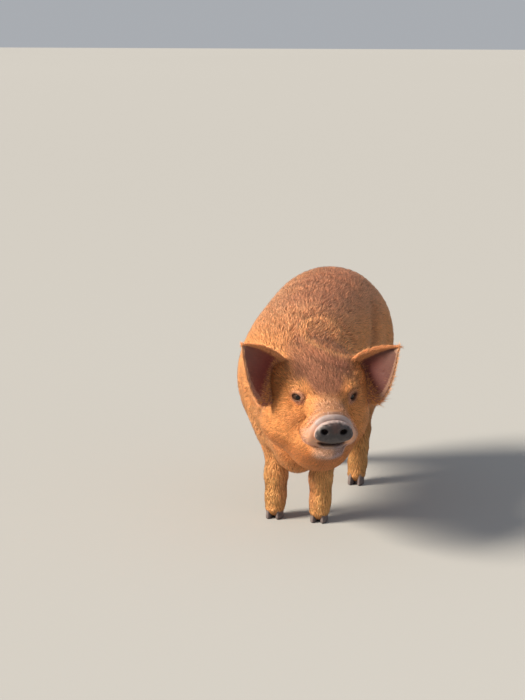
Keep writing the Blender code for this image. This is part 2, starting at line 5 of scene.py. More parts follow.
import bpy
import numpy as np
import openvdb
from mathutils import Matrix, Vector
from mathutils.bvhtree import BVHTree


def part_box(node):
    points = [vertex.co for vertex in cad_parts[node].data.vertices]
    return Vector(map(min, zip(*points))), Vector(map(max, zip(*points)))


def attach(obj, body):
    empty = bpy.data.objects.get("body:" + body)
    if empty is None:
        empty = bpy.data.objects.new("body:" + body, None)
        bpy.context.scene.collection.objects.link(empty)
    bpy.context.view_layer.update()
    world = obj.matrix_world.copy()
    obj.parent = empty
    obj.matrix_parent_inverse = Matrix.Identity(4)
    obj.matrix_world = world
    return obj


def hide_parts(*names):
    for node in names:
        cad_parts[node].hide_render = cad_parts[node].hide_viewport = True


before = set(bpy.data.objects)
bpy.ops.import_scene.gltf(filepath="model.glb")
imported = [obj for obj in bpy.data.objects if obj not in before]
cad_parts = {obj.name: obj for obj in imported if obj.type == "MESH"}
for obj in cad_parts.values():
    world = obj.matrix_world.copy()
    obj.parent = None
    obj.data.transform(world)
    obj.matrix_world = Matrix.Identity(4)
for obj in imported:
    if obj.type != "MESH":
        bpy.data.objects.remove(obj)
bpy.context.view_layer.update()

# The pig's own frame: X to the pig's left, Y towards its tail, Z up, the floor at Z = 0 and the
# point midway between the front feet at X = Y = 0.  Metres.
DEG = math.pi / 180.0

# head: the frame sits midway between the eyes; r = pig's left, f = along the snout, u = up
HEAD_AT = (0.1074, -0.2172, 0.3483)
HEAD_YAW = 24.5          # turned to the pig's left
HEAD_PITCH = 12.0        # nose carried a little low
HEAD_ROLL = -1.9         # the right ear a touch higher


def head_axes():
    y, p = HEAD_YAW * DEG, HEAD_PITCH * DEG
    fwd = np.array([math.sin(y), -math.cos(y), 0.0])
    r = np.array([math.cos(y), math.sin(y), 0.0])
    f = fwd * math.cos(p) - np.array([0, 0, 1.0]) * math.sin(p)
    u = np.cross(r, f)
    if u[2] < 0:
        u = -u
    t = HEAD_ROLL * DEG
    r, u = r * math.cos(t) + u * math.sin(t), u * math.cos(t) - r * math.sin(t)
    return np.stack([r, f, u])          # rows


HEAD_ROT = head_axes()


def to_head(p):
    return (p - np.array(HEAD_AT)) @ HEAD_ROT.T


def from_head(q):
    return np.asarray(q, float) @ HEAD_ROT + np.array(HEAD_AT)


# ---- trunk: name, centre, radii, pitch in degrees (tail end up), blend ----
TRUNK = [
    ("ribs",      (-0.011, 0.150, 0.353), (0.158, 0.220, 0.170), 10.0, 0.05),
    ("loin",      (-0.006, 0.335, 0.375), (0.159, 0.190, 0.175),  4.0, 0.07),
    ("withers",   (-0.004, 0.020, 0.329), (0.137, 0.140, 0.140), 12.0, 0.07),
    ("belly",     (-0.001, 0.205, 0.263), (0.106, 0.205, 0.132),  3.0, 0.07),
    ("rump",      (0.002, 0.432, 0.354), (0.129, 0.122, 0.161), -8.0, 0.07),
    ("brisket",   (0.008, -0.040, 0.215), (0.067, 0.090, 0.092), 0.0, 0.05),
    ("neck_low",  (0.024, -0.045, 0.335), (0.118, 0.112, 0.122), 0.0, 0.06),
    ("neck_high", (0.052, -0.110, 0.338), (0.112, 0.095, 0.104), 0.0, 0.06),
]
# paired masses of the trunk, given for the pig's left
TRUNK_PAIRS = [
    ("shoulder",  (0.070, 0.020, 0.281), (0.035, 0.084, 0.111), 0.0, 0.045),
    ("ham",       (0.074, 0.420, 0.302), (0.060, 0.112, 0.144), 0.0, 0.05),
]

# ---- legs: joints from the top down as (x, y, z, radius), for the pig's left; the foot is at FEET ----
FORE_X = 0.052
FEET = {"fore_left": (FORE_X, -0.004), "fore_right": (-0.057, 0.000),
        "hind_left": (0.080, 0.316), "hind_right": (-0.083, 0.445)}


def leg_joints(name):
    side = 1.0 if name.endswith("left") else -1.0
    x, y = FEET[name]
    if name.startswith("fore"):
        return [(side * 0.072, y + 0.040, 0.215, 0.0445), (side * 0.056, y + 0.022, 0.150, 0.0325),
                (x, y + 0.006, 0.100, 0.0290), (x, y + 0.007, 0.064, 0.0255), (x, y + 0.002, 0.044, 0.0262),
                (x, y - 0.006, 0.026, 0.0235)]
    back = 0.060 if side > 0 else 0.035      # how far the hock lies behind the foot
    return [(side * 0.078, 0.365 + 0.20 * (y - 0.38), 0.225, 0.0520),
            (side * 0.074, y + back - 0.012, 0.165, 0.0350),
            (side * 0.078, y + back, 0.130, 0.0285), (side * 0.080, y + back * 0.55, 0.085, 0.0245),
            (x, y + 0.012, 0.050, 0.0255), (x, y - 0.002, 0.027, 0.0235)]


# ---- tail: hangs from the rump with one loose curl ----
TAIL_ROOT = (0.0, 0.532, 0.452)
TAIL_LENGTH = 0.150


def tail_points(n=14):
    pts = []
    for i in range(n):
        t = i / (n - 1)
        pts.append((TAIL_ROOT[0] + 0.024 * t * math.sin(1.5 * math.pi * t),
                    TAIL_ROOT[1] + 0.042 * math.sin(0.5 * math.pi * min(1.0, 1.7 * t)) + 0.006 * t,
                    TAIL_ROOT[2] - TAIL_LENGTH * (0.25 * t + 0.75 * t * t)))
    return pts


# ---- head masses in the head frame: name, centre, radii, pitch (front up), blend ----
HEAD = [
    ("cranium",   (0.000, -0.082, -0.008), (0.092, 0.086, 0.066),  0.0, 0.03),
    ("forehead",  (0.000, -0.026, 0.000), (0.064, 0.056, 0.036), -12.0, 0.03),
    ("bridge",    (0.000,  0.036, -0.018), (0.040, 0.066, 0.030), -8.0, 0.03),
    ("muzzle",    (0.000,  0.056, -0.038), (0.050, 0.046, 0.034),  0.0, 0.025),
    ("snout",     (0.000,  0.088, -0.038), (0.0425, 0.036, 0.0305),  0.0, 0.012),
    ("jaw",       (0.000, -0.010, -0.098), (0.066, 0.082, 0.044),  0.0, 0.03),
    ("chin",      (0.000,  0.060, -0.087), (0.034, 0.034, 0.021),  0.0, 0.018),
    ("throat",    (0.006, -0.044, -0.128), (0.074, 0.072, 0.066),  0.0, 0.04),
]
HEAD_PAIRS = [
    ("temple",    (0.070, -0.086, 0.016), (0.032, 0.036, 0.034), 0.0, 0.03),
    ("cheek",     (0.062, -0.052, -0.052), (0.048, 0.060, 0.056), 0.0, 0.030),
    ("jowl",      (0.072, -0.084, -0.092), (0.050, 0.060, 0.054), 0.0, 0.035),
    ("lip",       (0.038,  0.054, -0.055), (0.028, 0.034, 0.027), 0.0, 0.014),
    ("brow",      (0.050, -0.020, 0.019), (0.026, 0.024, 0.010), 0.0, 0.026),
]
SOCKET = (0.0900, 0.012, 0.000), (0.028, 0.024, 0.022), 0.020      # hollow round the eye
SNOUT_FACE = 0.1085      # the flat front of the snout, along f
EYE = (0.0550, -0.012, 0.0035)    # centre of the eyeball, from the middle of the two
EYE_ASIDE = -0.0022               # the middle of the two lies this far to the side of the snout's line
EYE_R = 0.0145
EYE_LOOK = np.array((0.60, 0.78, 0.10))        # where the left eye faces
LID = 0.0038                                   # thickness of the lids over the eyeball
EYE_SLIT = (0.0120, 0.0077)                    # half width and half height of the opening
EYE_TILT = 12.0                                # the outer corner lies lower

# ---- ear, pig's left, in the head frame ----
EAR_TOP = np.array((0.068, -0.090, 0.044))      # where its upper edge leaves the head
EAR_LOW = np.array((0.101, -0.056, -0.020))     # where its lower edge leaves the head
EAR_TIPS = {1: np.array((0.165, -0.054, 0.1022)), -1: np.array((0.1845, -0.052, 0.1108))}
EAR_CUP = 0.030
EAR_THICK = (0.0085, 0.0040)                    # at the root and at the tip


def ear_point(s, t, side):
    """s runs from the upper edge (0) to the lower one (1), t from the root (0) to the tip (1); given as for the pig's left."""
    tip = EAR_TIPS[side]
    mid = (EAR_TOP + EAR_LOW) / 2
    w = (1 - t ** 1.7) * 0.96 + 0.04
    edge = np.stack([EAR_TOP + (EAR_LOW - EAR_TOP) * v for v in s]) - mid
    p = mid + (tip - mid) * t[:, None] + edge * w[:, None]
    out = tip - mid
    out = out / np.linalg.norm(out)
    down = EAR_LOW - EAR_TOP
    down = down / np.linalg.norm(down)
    p += down * (0.028 * np.sin(np.pi * t ** 0.5) * s ** 3)[:, None]
    p += down * (0.011 * np.sin(np.pi * t) * s ** 2)[:, None]
    p -= down * (0.004 * np.sin(np.pi * t) * (1 - s) ** 2)[:, None]
    deep = EAR_CUP * np.sin(np.pi * s) ** 1.2 * (1 - 0.75 * t)
    p[:, 1] -= deep
    p[:, 1] += 0.010 * t ** 2
    return p

# ---- functions ----
def ellipsoid(p, c, r, pitch=0.0):
    q = p - np.asarray(c, p.dtype)
    if pitch:
        a = pitch * DEG
        y = q[:, 1] * math.cos(a) + q[:, 2] * math.sin(a)
        z = -q[:, 1] * math.sin(a) + q[:, 2] * math.cos(a)
        q = np.stack([q[:, 0], y, z], 1)
    r = np.asarray(r, p.dtype)
    s = q / r
    k0 = np.sqrt((s * s).sum(1))
    s = s / r
    k1 = np.sqrt((s * s).sum(1)) + 1e-6
    return k0 * (k0 - 1.0) / k1


def limb(p, a, b):
    """A tapering round stretch from a to b, each (x, y, z, radius)."""
    pa = p - np.asarray(a[:3], p.dtype)
    ab = np.asarray(b[:3], p.dtype) - np.asarray(a[:3], p.dtype)
    t = np.clip(pa @ ab / float(ab @ ab), 0, 1)
    d = pa - t[:, None] * ab
    return np.sqrt((d * d).sum(1)) - (a[3] + (b[3] - a[3]) * t)


def join(a, b, k):
    h = np.clip(0.5 + 0.5 * (b - a) / k, 0, 1)
    return b + (a - b) * h - k * h * (1 - h)


def carve(a, b, k):
    """a with b taken out of it."""
    return -join(-a, b, k)


def mirrored(c):
    return (-c[0], c[1], c[2])


def trunk_distance(p):
    d = None
    for _, c, r, pitch, k in TRUNK:
        e = ellipsoid(p, c, r, pitch)
        d = e if d is None else join(d, e, k)
    for _, c, r, pitch, k in TRUNK_PAIRS:
        for cc in (c, mirrored(c)):
            d = join(d, ellipsoid(p, cc, r, pitch), k)
    return d


def leg_distance(p, name):
    j = leg_joints(name)
    d = None
    for a, b in zip(j, j[1:]):
        e = limb(p, a, b)
        d = e if d is None else join(d, e, 0.010)
    return d


def tail_distance(p):
    pts = tail_points()
    n = len(pts)
    d = None
    for i in range(n - 1):
        ra, rb = (0.0145 - 0.0105 * (i + s) / (n - 1) for s in (0, 1))
        e = limb(p, (*pts[i], ra), (*pts[i + 1], rb))
        d = e if d is None else join(d, e, 0.004)
    return d


def head_distance(p):
    q = to_head(p).astype(p.dtype)
    d = None
    for _, c, r, pitch, k in HEAD:
        e = ellipsoid(q, c, r, pitch)
        d = e if d is None else join(d, e, k)
    for _, c, r, pitch, k in HEAD_PAIRS:
        for cc in (c, mirrored(c)):
            d = join(d, ellipsoid(q, cc, r, pitch), k)
    c, r, k = SOCKET
    for cc in (c, mirrored(c)):
        d = carve(d, ellipsoid(q, cc, r), k)
    for side in (1, -1):
        d = join(d, ellipsoid(q, eye_at(side), (EYE_R + LID,) * 3), 0.015)
    return carve(d, SNOUT_FACE - q[:, 1], 0.008)


def eye_at(side):
    return side * EYE[0] + EYE_ASIDE, EYE[1], EYE[2]


def eye_axes(side):
    """Rows: across the opening, the way the eye faces, up the opening; in the head frame."""
    look = EYE_LOOK * np.array((side, 1, 1))
    look = look / np.linalg.norm(look)
    across = np.cross(look, np.array((0, 0, 1.0))) * side
    across /= np.linalg.norm(across)
    high = np.cross(across, look) * side
    t = EYE_TILT * DEG
    across, high = across * math.cos(t) + high * math.sin(t), high * math.cos(t) - across * math.sin(t)
    return np.stack([across, look, high])


def body_distance(p):
    d = trunk_distance(p)
    for name in FEET:
        d = join(d, leg_distance(p, name), 0.030)
    return join(d, head_distance(p), 0.045)

# ---------------------------------------------------------------- the row frame
# The animal's own frame above is moved so that the middle of its box stands over the row's origin.
SHIFT = np.array((-0.041732, -0.13267, 0.0))

# ---------------------------------------------------------------- skin: the solids' surface, drawn in by the depth of the coat
COAT_DEPTH = 0.0070
FACE_DEPTH = 0.0028
LEG_DEPTH = 0.0042
BARE_DEPTH = 0.0006
EAR_HALF = (0.0029, 0.0019)        # half the ear's thickness at its root and tip
EYE_SLIT = (0.0120, 0.0074)        # the lids come a little over the solids' opening
SLIT_TURN = (math.cos(0.24), math.sin(0.24))        # its outer corner lies lower


def smooth(a, b, x):
    t = np.clip((x - a) / (b - a), 0, 1)
    return t * t * (3 - 2 * t)


def bare_muzzle(q):
    """1 on the disc and the hairless rim round it, in the head frame."""
    return smooth(0.074, 0.088, q[:, 1]) * smooth(-0.100, -0.070, q[:, 2])


def eye_near(q, reach):
    """1 at the eyes, 0 beyond reach."""
    out = np.zeros(len(q))
    for s in (1, -1):
        c = np.array(eye_at(s))
        out = np.maximum(out, 1 - smooth(0.5 * reach, reach, np.linalg.norm(q - c, axis=1)))
    return out


def head_share(p, q):
    """1 on the head, 0 from the neck back."""
    return smooth(-0.150, -0.085, q[:, 1]) * smooth(0.30, 0.20, np.linalg.norm(q, axis=1))


def leg_share(p):
    """1 on the lower legs, 0 above the elbow."""
    return smooth(0.150, 0.085, p[:, 2])


def coat_depth(p, q):
    h = head_share(p, q)
    front = smooth(-0.09, 0.05, q[:, 1])
    face = FACE_DEPTH + (0.0050 - FACE_DEPTH) * (1 - front)
    d = COAT_DEPTH + (LEG_DEPTH - COAT_DEPTH) * leg_share(p)
    d = d + (face - d) * h
    bare = np.maximum(bare_muzzle(q), eye_near(q, 0.026)) * h
    d = d + (BARE_DEPTH - d) * bare
    return d * smooth(0.018, 0.034, p[:, 2]) + 0.0012 * smooth(0.034, 0.018, p[:, 2])


def ridge(x, width):
    return np.exp(-(x / width) ** 2)


def disc_round(q):
    """Under 1 on the dark of the snout disc, which leaves a pale rim round its top."""
    return np.sqrt((q[:, 0] / 0.0405) ** 2 + ((q[:, 2] + 0.0390) / np.where(q[:, 2] > -0.0390, 0.0295, 0.0320)) ** 2)


def face_detail(q):
    """Folds and hollows of the face, as depths taken off the surface, in the head frame."""
    r, f, u = np.abs(q[:, 0]), q[:, 1], q[:, 2]
    d = np.zeros(len(q))
    front = smooth(0.02, 0.04, f)
    # mouth line, rising a little at its corners
    m = MOUTH_U + 0.0100 * smooth(0.014, 0.046, r)
    d += 0.0056 * ridge(u - m, 0.0023) * smooth(0.020, 0.040, f) * smooth(0.046, 0.018, r)
    d -= 0.0012 * ridge(u - m - 0.0055, 0.0030) * smooth(0.030, 0.050, f) * smooth(0.085, 0.075, f)
    d -= 0.0020 * ridge(u - m + 0.0070, 0.0042) * smooth(0.055, 0.075, f) * smooth(0.040, 0.026, r)
    # folds across the top of the snout and the groove behind its rim
    top = smooth(-0.052, -0.030, u)
    d += 0.0046 * ridge(f - 0.0925 + 0.10 * r, 0.0024) * smooth(-0.070, -0.045, u)
    d -= 0.0026 * ridge(f - 0.0850 + 0.12 * r, 0.0044) * top
    d += 0.0030 * ridge(f - 0.0765 + 0.20 * r, 0.0026) * top
    d += 0.0012 * ridge(f - 0.0640 + 0.26 * r, 0.0028) * top
    d += 0.0008 * ridge(f - 0.0480 + 0.30 * r, 0.0030) * top
    # the rim stands proud, puckered a little; the disc is dished, with a raised middle and nostril rims
    d -= (0.0019 + 0.0002 * np.sin(q[:, 0] * 620.0 + 2.0 * np.sin(u * 300.0))) * ridge(f - 0.1010, 0.0050) * smooth(-0.056, -0.040, u)
    near = disc_round(q)
    d += 0.0085 * smooth(-0.042, -0.066, u) * smooth(0.080, 0.096, f)
    plate = smooth(0.098, 0.103, f)
    d += plate * (0.0016 * smooth(1.0, 0.2, near) + 0.0012 * ridge(near - 0.99, 0.060))
    d -= plate * 0.0024 * ridge(r, 0.0070) * ridge(u - NOSTRIL_U + 0.004, 0.0120)
    for s in (1, -1):
        hole = np.sqrt(((q[:, 0] - s * 0.0205 + 0.0020) / 1.25) ** 2 + (u - NOSTRIL_U) ** 2)
        d -= plate * 0.0016 * ridge(hole - 0.0090, 0.0024)
    # lids: a fold over and one under each opening
    for s in (1, -1):
        ax = eye_axes(s)
        e = (q - np.array(eye_at(s))) @ ax.T
        a, look, h = e[:, 0] / 1.22, e[:, 1], e[:, 2]
        ring = np.sqrt(a * a + h * h)
        near = smooth(0.002, 0.008, look)
        upper = smooth(-0.004, 0.004, h)
        d += near * upper * 0.0017 * ridge(ring - 0.0165, 0.0016)
        d += near * upper * 0.0010 * ridge(ring - 0.0215, 0.0018)
        d += near * (1 - upper) * 0.0014 * ridge(ring - 0.0150, 0.0017)
        d += near * (1 - upper) * 0.0009 * ridge(ring - 0.0200, 0.0020)
    # cheek fold behind the corner of the mouth, chin dimple
    d += 0.0022 * ridge(f - 0.006 + 0.5 * (u + 0.080), 0.0040) * smooth(-0.110, -0.090, u) * smooth(-0.052, -0.066, u) * smooth(0.030, 0.045, r)
    d += 0.0012 * ridge(r, 0.004) * smooth(0.060, 0.075, f) * smooth(-0.070, -0.078, u)
    return d


MOUTH_U = -0.0695
NOSTRIL_U = -0.0275


def nape_roll(q):
    """1 along the roll of the neck behind the nape, less in front of it, more behind."""
    return np.sqrt(((q[:, 0] - 0.045) / 0.066) ** 2 + ((q[:, 1] + 0.165) / 0.092) ** 2)


def flank(p):
    """1 along the crease between the ribs and the flank, on both sides."""
    w = 0.58 * (p[:, 1] - 0.221) - 0.81 * (p[:, 2] - 0.423)
    return ridge(w, 0.016) * smooth(0.090, 0.125, np.abs(p[:, 0])) * smooth(0.30, 0.36, p[:, 2]) * smooth(0.50, 0.46, p[:, 2])


def body_folds(p, q, trunk, head):
    """Creases of the body, as depths taken off the surface."""
    e = nape_roll(q)
    top = smooth(0.02, 0.05, q[:, 2])
    d = (0.0030 * ridge(e - 1.24, 0.10) - 0.0018 * ridge(e - 1.0, 0.085)) * top
    d += 0.0060 * flank(p)
    meet = ridge(trunk - head, 0.011) * smooth(0.000, -0.045, q[:, 2])
    return d + 0.0075 * meet


def ear_sheet(side, ns=20, nt=26, back=0.06):
    """The middle sheet of an ear, in the animal's frame, and its grid faces."""
    s, t = np.meshgrid(np.linspace(0, 1, ns + 1), np.linspace(-back, 1, nt + 1), indexing="ij")
    s, t = s.ravel(), t.ravel()
    tt = np.maximum(t, 0)
    p = ear_point(s, tt, side)
    p += np.minimum(t, 0)[:, None] * (EAR_TIPS[side] - (EAR_TOP + EAR_LOW) / 2)
    p[:, 0] *= side
    i = (np.arange(ns)[:, None] * (nt + 1) + np.arange(nt)[None]).ravel()
    faces = np.stack([i, i + nt + 1, i + nt + 2, i + 1], 1)
    return from_head(p), faces, t


EAR_TREES = []
for _side in (1, -1):
    _v, _f, _t = ear_sheet(_side)
    EAR_TREES.append((BVHTree.FromPolygons([Vector(x) for x in _v], _f.tolist()), _v, _f, _t))


def ear_distance(p, reach=0.014):
    """Distance to the nearer ear's thickened sheet; only true within reach of it."""
    out = np.full(len(p), 0.05)
    for tree, v, f, t in EAR_TREES:
        lo, hi = v.min(0) - reach, v.max(0) + reach
        near = np.flatnonzero(((p > lo) & (p < hi)).all(1))
        for i in near:
            _, _, face, dist = tree.find_nearest(Vector(p[i]), reach)
            if face is not None:
                w = max(0.0, t[f[face][0]])
                out[i] = min(out[i], dist - (EAR_HALF[0] + (EAR_HALF[1] - EAR_HALF[0]) * w))
    return out


def tail_skin(p):
    return tail_distance(p) + 0.0035


def flesh_distance(p, detail=True):
    """Signed distance to the skin, ears apart."""
    q = to_head(p)
    trunk = trunk_distance(p)
    for name in FEET:
        trunk = join(trunk, leg_distance(p, name), 0.030)
    head = head_distance(p)
    d = join(trunk, head, 0.045) + coat_depth(p, q) + body_folds(p, q, trunk, head)
    d = join(d, tail_skin(p), 0.012)
    near = (q[:, 1] > -0.08) & (np.abs(q[:, 0]) < 0.12) & (np.abs(q[:, 2] + 0.03) < 0.12) & (d < 0.03)
    if detail and near.any():
        qn = q[near]
        dn = d[near] + face_detail(qn)
        for s in (1, -1):
            ax = eye_axes(s)
            at = np.array(eye_at(s))
            e = (qn - at) @ ax.T
            # the opening between the lids, then the ball's own room
            turned = np.stack([e[:, 0] * SLIT_TURN[0] - e[:, 2] * SLIT_TURN[1], e[:, 1], e[:, 0] * SLIT_TURN[1] + e[:, 2] * SLIT_TURN[0]], 1)
            dn = carve(dn, ellipsoid(turned, (0, EYE_R + LID, 0), (EYE_SLIT[0], 0.0125, EYE_SLIT[1])), 0.0022)
            dn = carve(dn, np.linalg.norm(e, axis=1) - (EYE_R - 0.0002), 0.0008)
            (r0, f0, u0), radii = NOSTRIL_SKIN
            t = s * 24 * DEG
            c, sn = math.cos(t), math.sin(t)
            z = qn - np.array((s * r0 - 0.0020, f0, u0))
            z = np.stack([z[:, 0] * c + z[:, 2] * sn, z[:, 1], z[:, 2] * c - z[:, 0] * sn], 1)
            dn = carve(dn, ellipsoid(z, (0, 0, 0), radii), 0.0030)
        d[near] = dn
    return d


NOSTRIL_SKIN = (0.0205, 0.1080, NOSTRIL_U), (0.0076, 0.0160, 0.0058)


def skin_distance(p):
    d = flesh_distance(p)
    e = ear_distance(p)
    return np.where(e < 0.04, join(d, e, 0.007), d)


def lattice_skin(fn, lo, hi, h, block=8):
    """Blocks of a lattice near the surface are measured and drawn as one mesh of quads."""
    lo, hi = np.array(lo), np.array(hi)
    n = np.ceil((hi - lo) / (h * block)).astype(int)
    arr = np.full(n * block, 1.0, np.float32)
    cell = np.stack(np.meshgrid(*[np.arange(k) for k in n], indexing="ij"), -1).reshape(-1, 3)
    mid = lo + (cell * block + (block - 1) / 2) * h
    d = fn(mid)
    near = np.abs(d) < h * block * 1.15
    for c in cell[(~near) & (d < 0)] * block:
        arr[c[0]:c[0] + block, c[1]:c[1] + block, c[2]:c[2] + block] = -1.0
    step = np.stack(np.meshgrid(*[np.arange(block)] * 3, indexing="ij"), -1).reshape(-1, 3)
    todo = cell[near] * block
    for s in range(0, len(todo), 300):
        b = todo[s:s + 300]
        p = lo + (b[:, None, :] + step[None]).reshape(-1, 3) * h
        v = fn(p).reshape(len(b), block, block, block)
        for c, x in zip(b, v):
            arr[c[0]:c[0] + block, c[1]:c[1] + block, c[2]:c[2] + block] = x
    grid = openvdb.FloatGrid(1.0)
    grid.copyFromArray(arr)
    p, f = grid.convertToQuads(0.0)
    return np.asarray(p, float) * h + lo, np.asarray(f)[:, ::-1]


def gradient(fn, p, e=0.0005):
    """Value and unit-scale gradient, from four points round each one."""
    k = np.array([(1, 1, 1), (1, -1, -1), (-1, 1, -1), (-1, -1, 1)], float)
    v = [fn(p + e * c) for c in k]
    return sum(v) / 4, sum(c[None] * x[:, None] for c, x in zip(k, v)) / (4 * e)


def settle(fn, p, steps=3, limit=0.003):
    p = p.copy()
    for _ in range(steps):
        d, g = gradient(fn, p)
        p -= np.clip(d / np.maximum((g * g).sum(1), 0.2), -limit, limit)[:, None] * g
    return p


def add_object(name, verts, faces, smooth_faces=True):
    """A mesh object from arrays; faces all have the same number of corners."""
    verts, faces = np.asarray(verts), np.asarray(faces)
    mesh = bpy.data.meshes.new(name)
    mesh.vertices.add(len(verts))
    mesh.vertices.foreach_set("co", verts.astype(np.float32).ravel())
    k = faces.shape[1]
    mesh.loops.add(faces.size)
    mesh.loops.foreach_set("vertex_index", faces.astype(np.int32).ravel())
    mesh.polygons.add(len(faces))
    mesh.polygons.foreach_set("loop_start", np.arange(0, faces.size, k, dtype=np.int32))
    mesh.polygons.foreach_set("use_smooth", np.full(len(faces), smooth_faces))
    mesh.update(calc_edges=True)
    obj = bpy.data.objects.new(name, mesh)
    bpy.context.scene.collection.objects.link(obj)
    return obj


def read(mesh):
    v = np.empty(len(mesh.vertices) * 3, np.float32)
    mesh.vertices.foreach_get("co", v)
    return v.reshape(-1, 3).astype(float)


def keep_modifiers(obj):
    graph = bpy.context.evaluated_depsgraph_get()
    mesh = bpy.data.meshes.new_from_object(obj.evaluated_get(graph))
    obj.modifiers.clear()
    obj.data = mesh
    return obj


def write_colour(mesh, colours, name="Tint"):
    a = mesh.color_attributes.new(name=name, type="FLOAT_COLOR", domain="POINT")
    rgba = np.concatenate([colours, np.ones((len(colours), 1))], 1).astype(np.float32)
    a.data.foreach_set("color", rgba.ravel())


def write_value(mesh, values, name):
    a = mesh.attributes.new(name=name, type="FLOAT", domain="POINT")
    a.data.foreach_set("value", np.asarray(values, np.float32))


# ---------------------------------------------------------------- colours, linear
GINGER = np.array((0.570, 0.212, 0.055))
GINGER_PALE = np.array((0.640, 0.275, 0.092))
MAUVE = np.array((0.320, 0.104, 0.056))
NAPE = np.array((0.135, 0.047, 0.031))
# painted sky light: the greyer tint of the up-facing back
SKYLIT_BACK = np.array((0.500, 0.225, 0.105))
BROW_PALE = np.array((0.660, 0.330, 0.110))
CREAM = np.array((0.640, 0.278, 0.080))
DARK_BACK = np.array((0.300, 0.105, 0.040))
PINK = np.array((0.600, 0.325, 0.215))
# the pale chin, partly its own colour and partly painted light on its lit side
CHIN_PALE_LIT = np.array((0.520, 0.300, 0.180))
JOWL = np.array((0.430, 0.125, 0.026))
BRIDGE = np.array((0.480, 0.270, 0.165))
DISC = np.array((0.028, 0.024, 0.026))
DISC_LOW = np.array((0.072, 0.060, 0.060))
DISC_RED = np.array((0.066, 0.033, 0.030))
RIM = np.array((0.360, 0.280, 0.270))
LID_PINK = np.array((0.450, 0.215, 0.130))
EAR_IN = np.array((0.150, 0.028, 0.022))
EAR_IN_TIP = np.array((0.160, 0.060, 0.044))
EAR_OUT = np.array((0.560, 0.215, 0.072))
EAR_RIM = np.array((0.640, 0.400, 0.270))


def mix(c, other, w):
    return c + (np.asarray(other) - c) * np.clip(w, 0, 1)[:, None]


def bands(p, scale, seed):
    """A soft field of crossing waves, -1 to 1, the same wherever it is asked for."""
    r = np.random.default_rng(seed)
    out = np.zeros(len(p))
    for k in range(7):
        d = r.normal(size=3)
        d *= (0.7 + 0.6 * r.random()) / np.linalg.norm(d) / scale
        out += np.sin(p @ d * 2 * np.pi + r.random() * 6.28 + 1.6 * np.sin(p @ np.roll(d, 1) * 4.0 + k))
    return out / 3.6


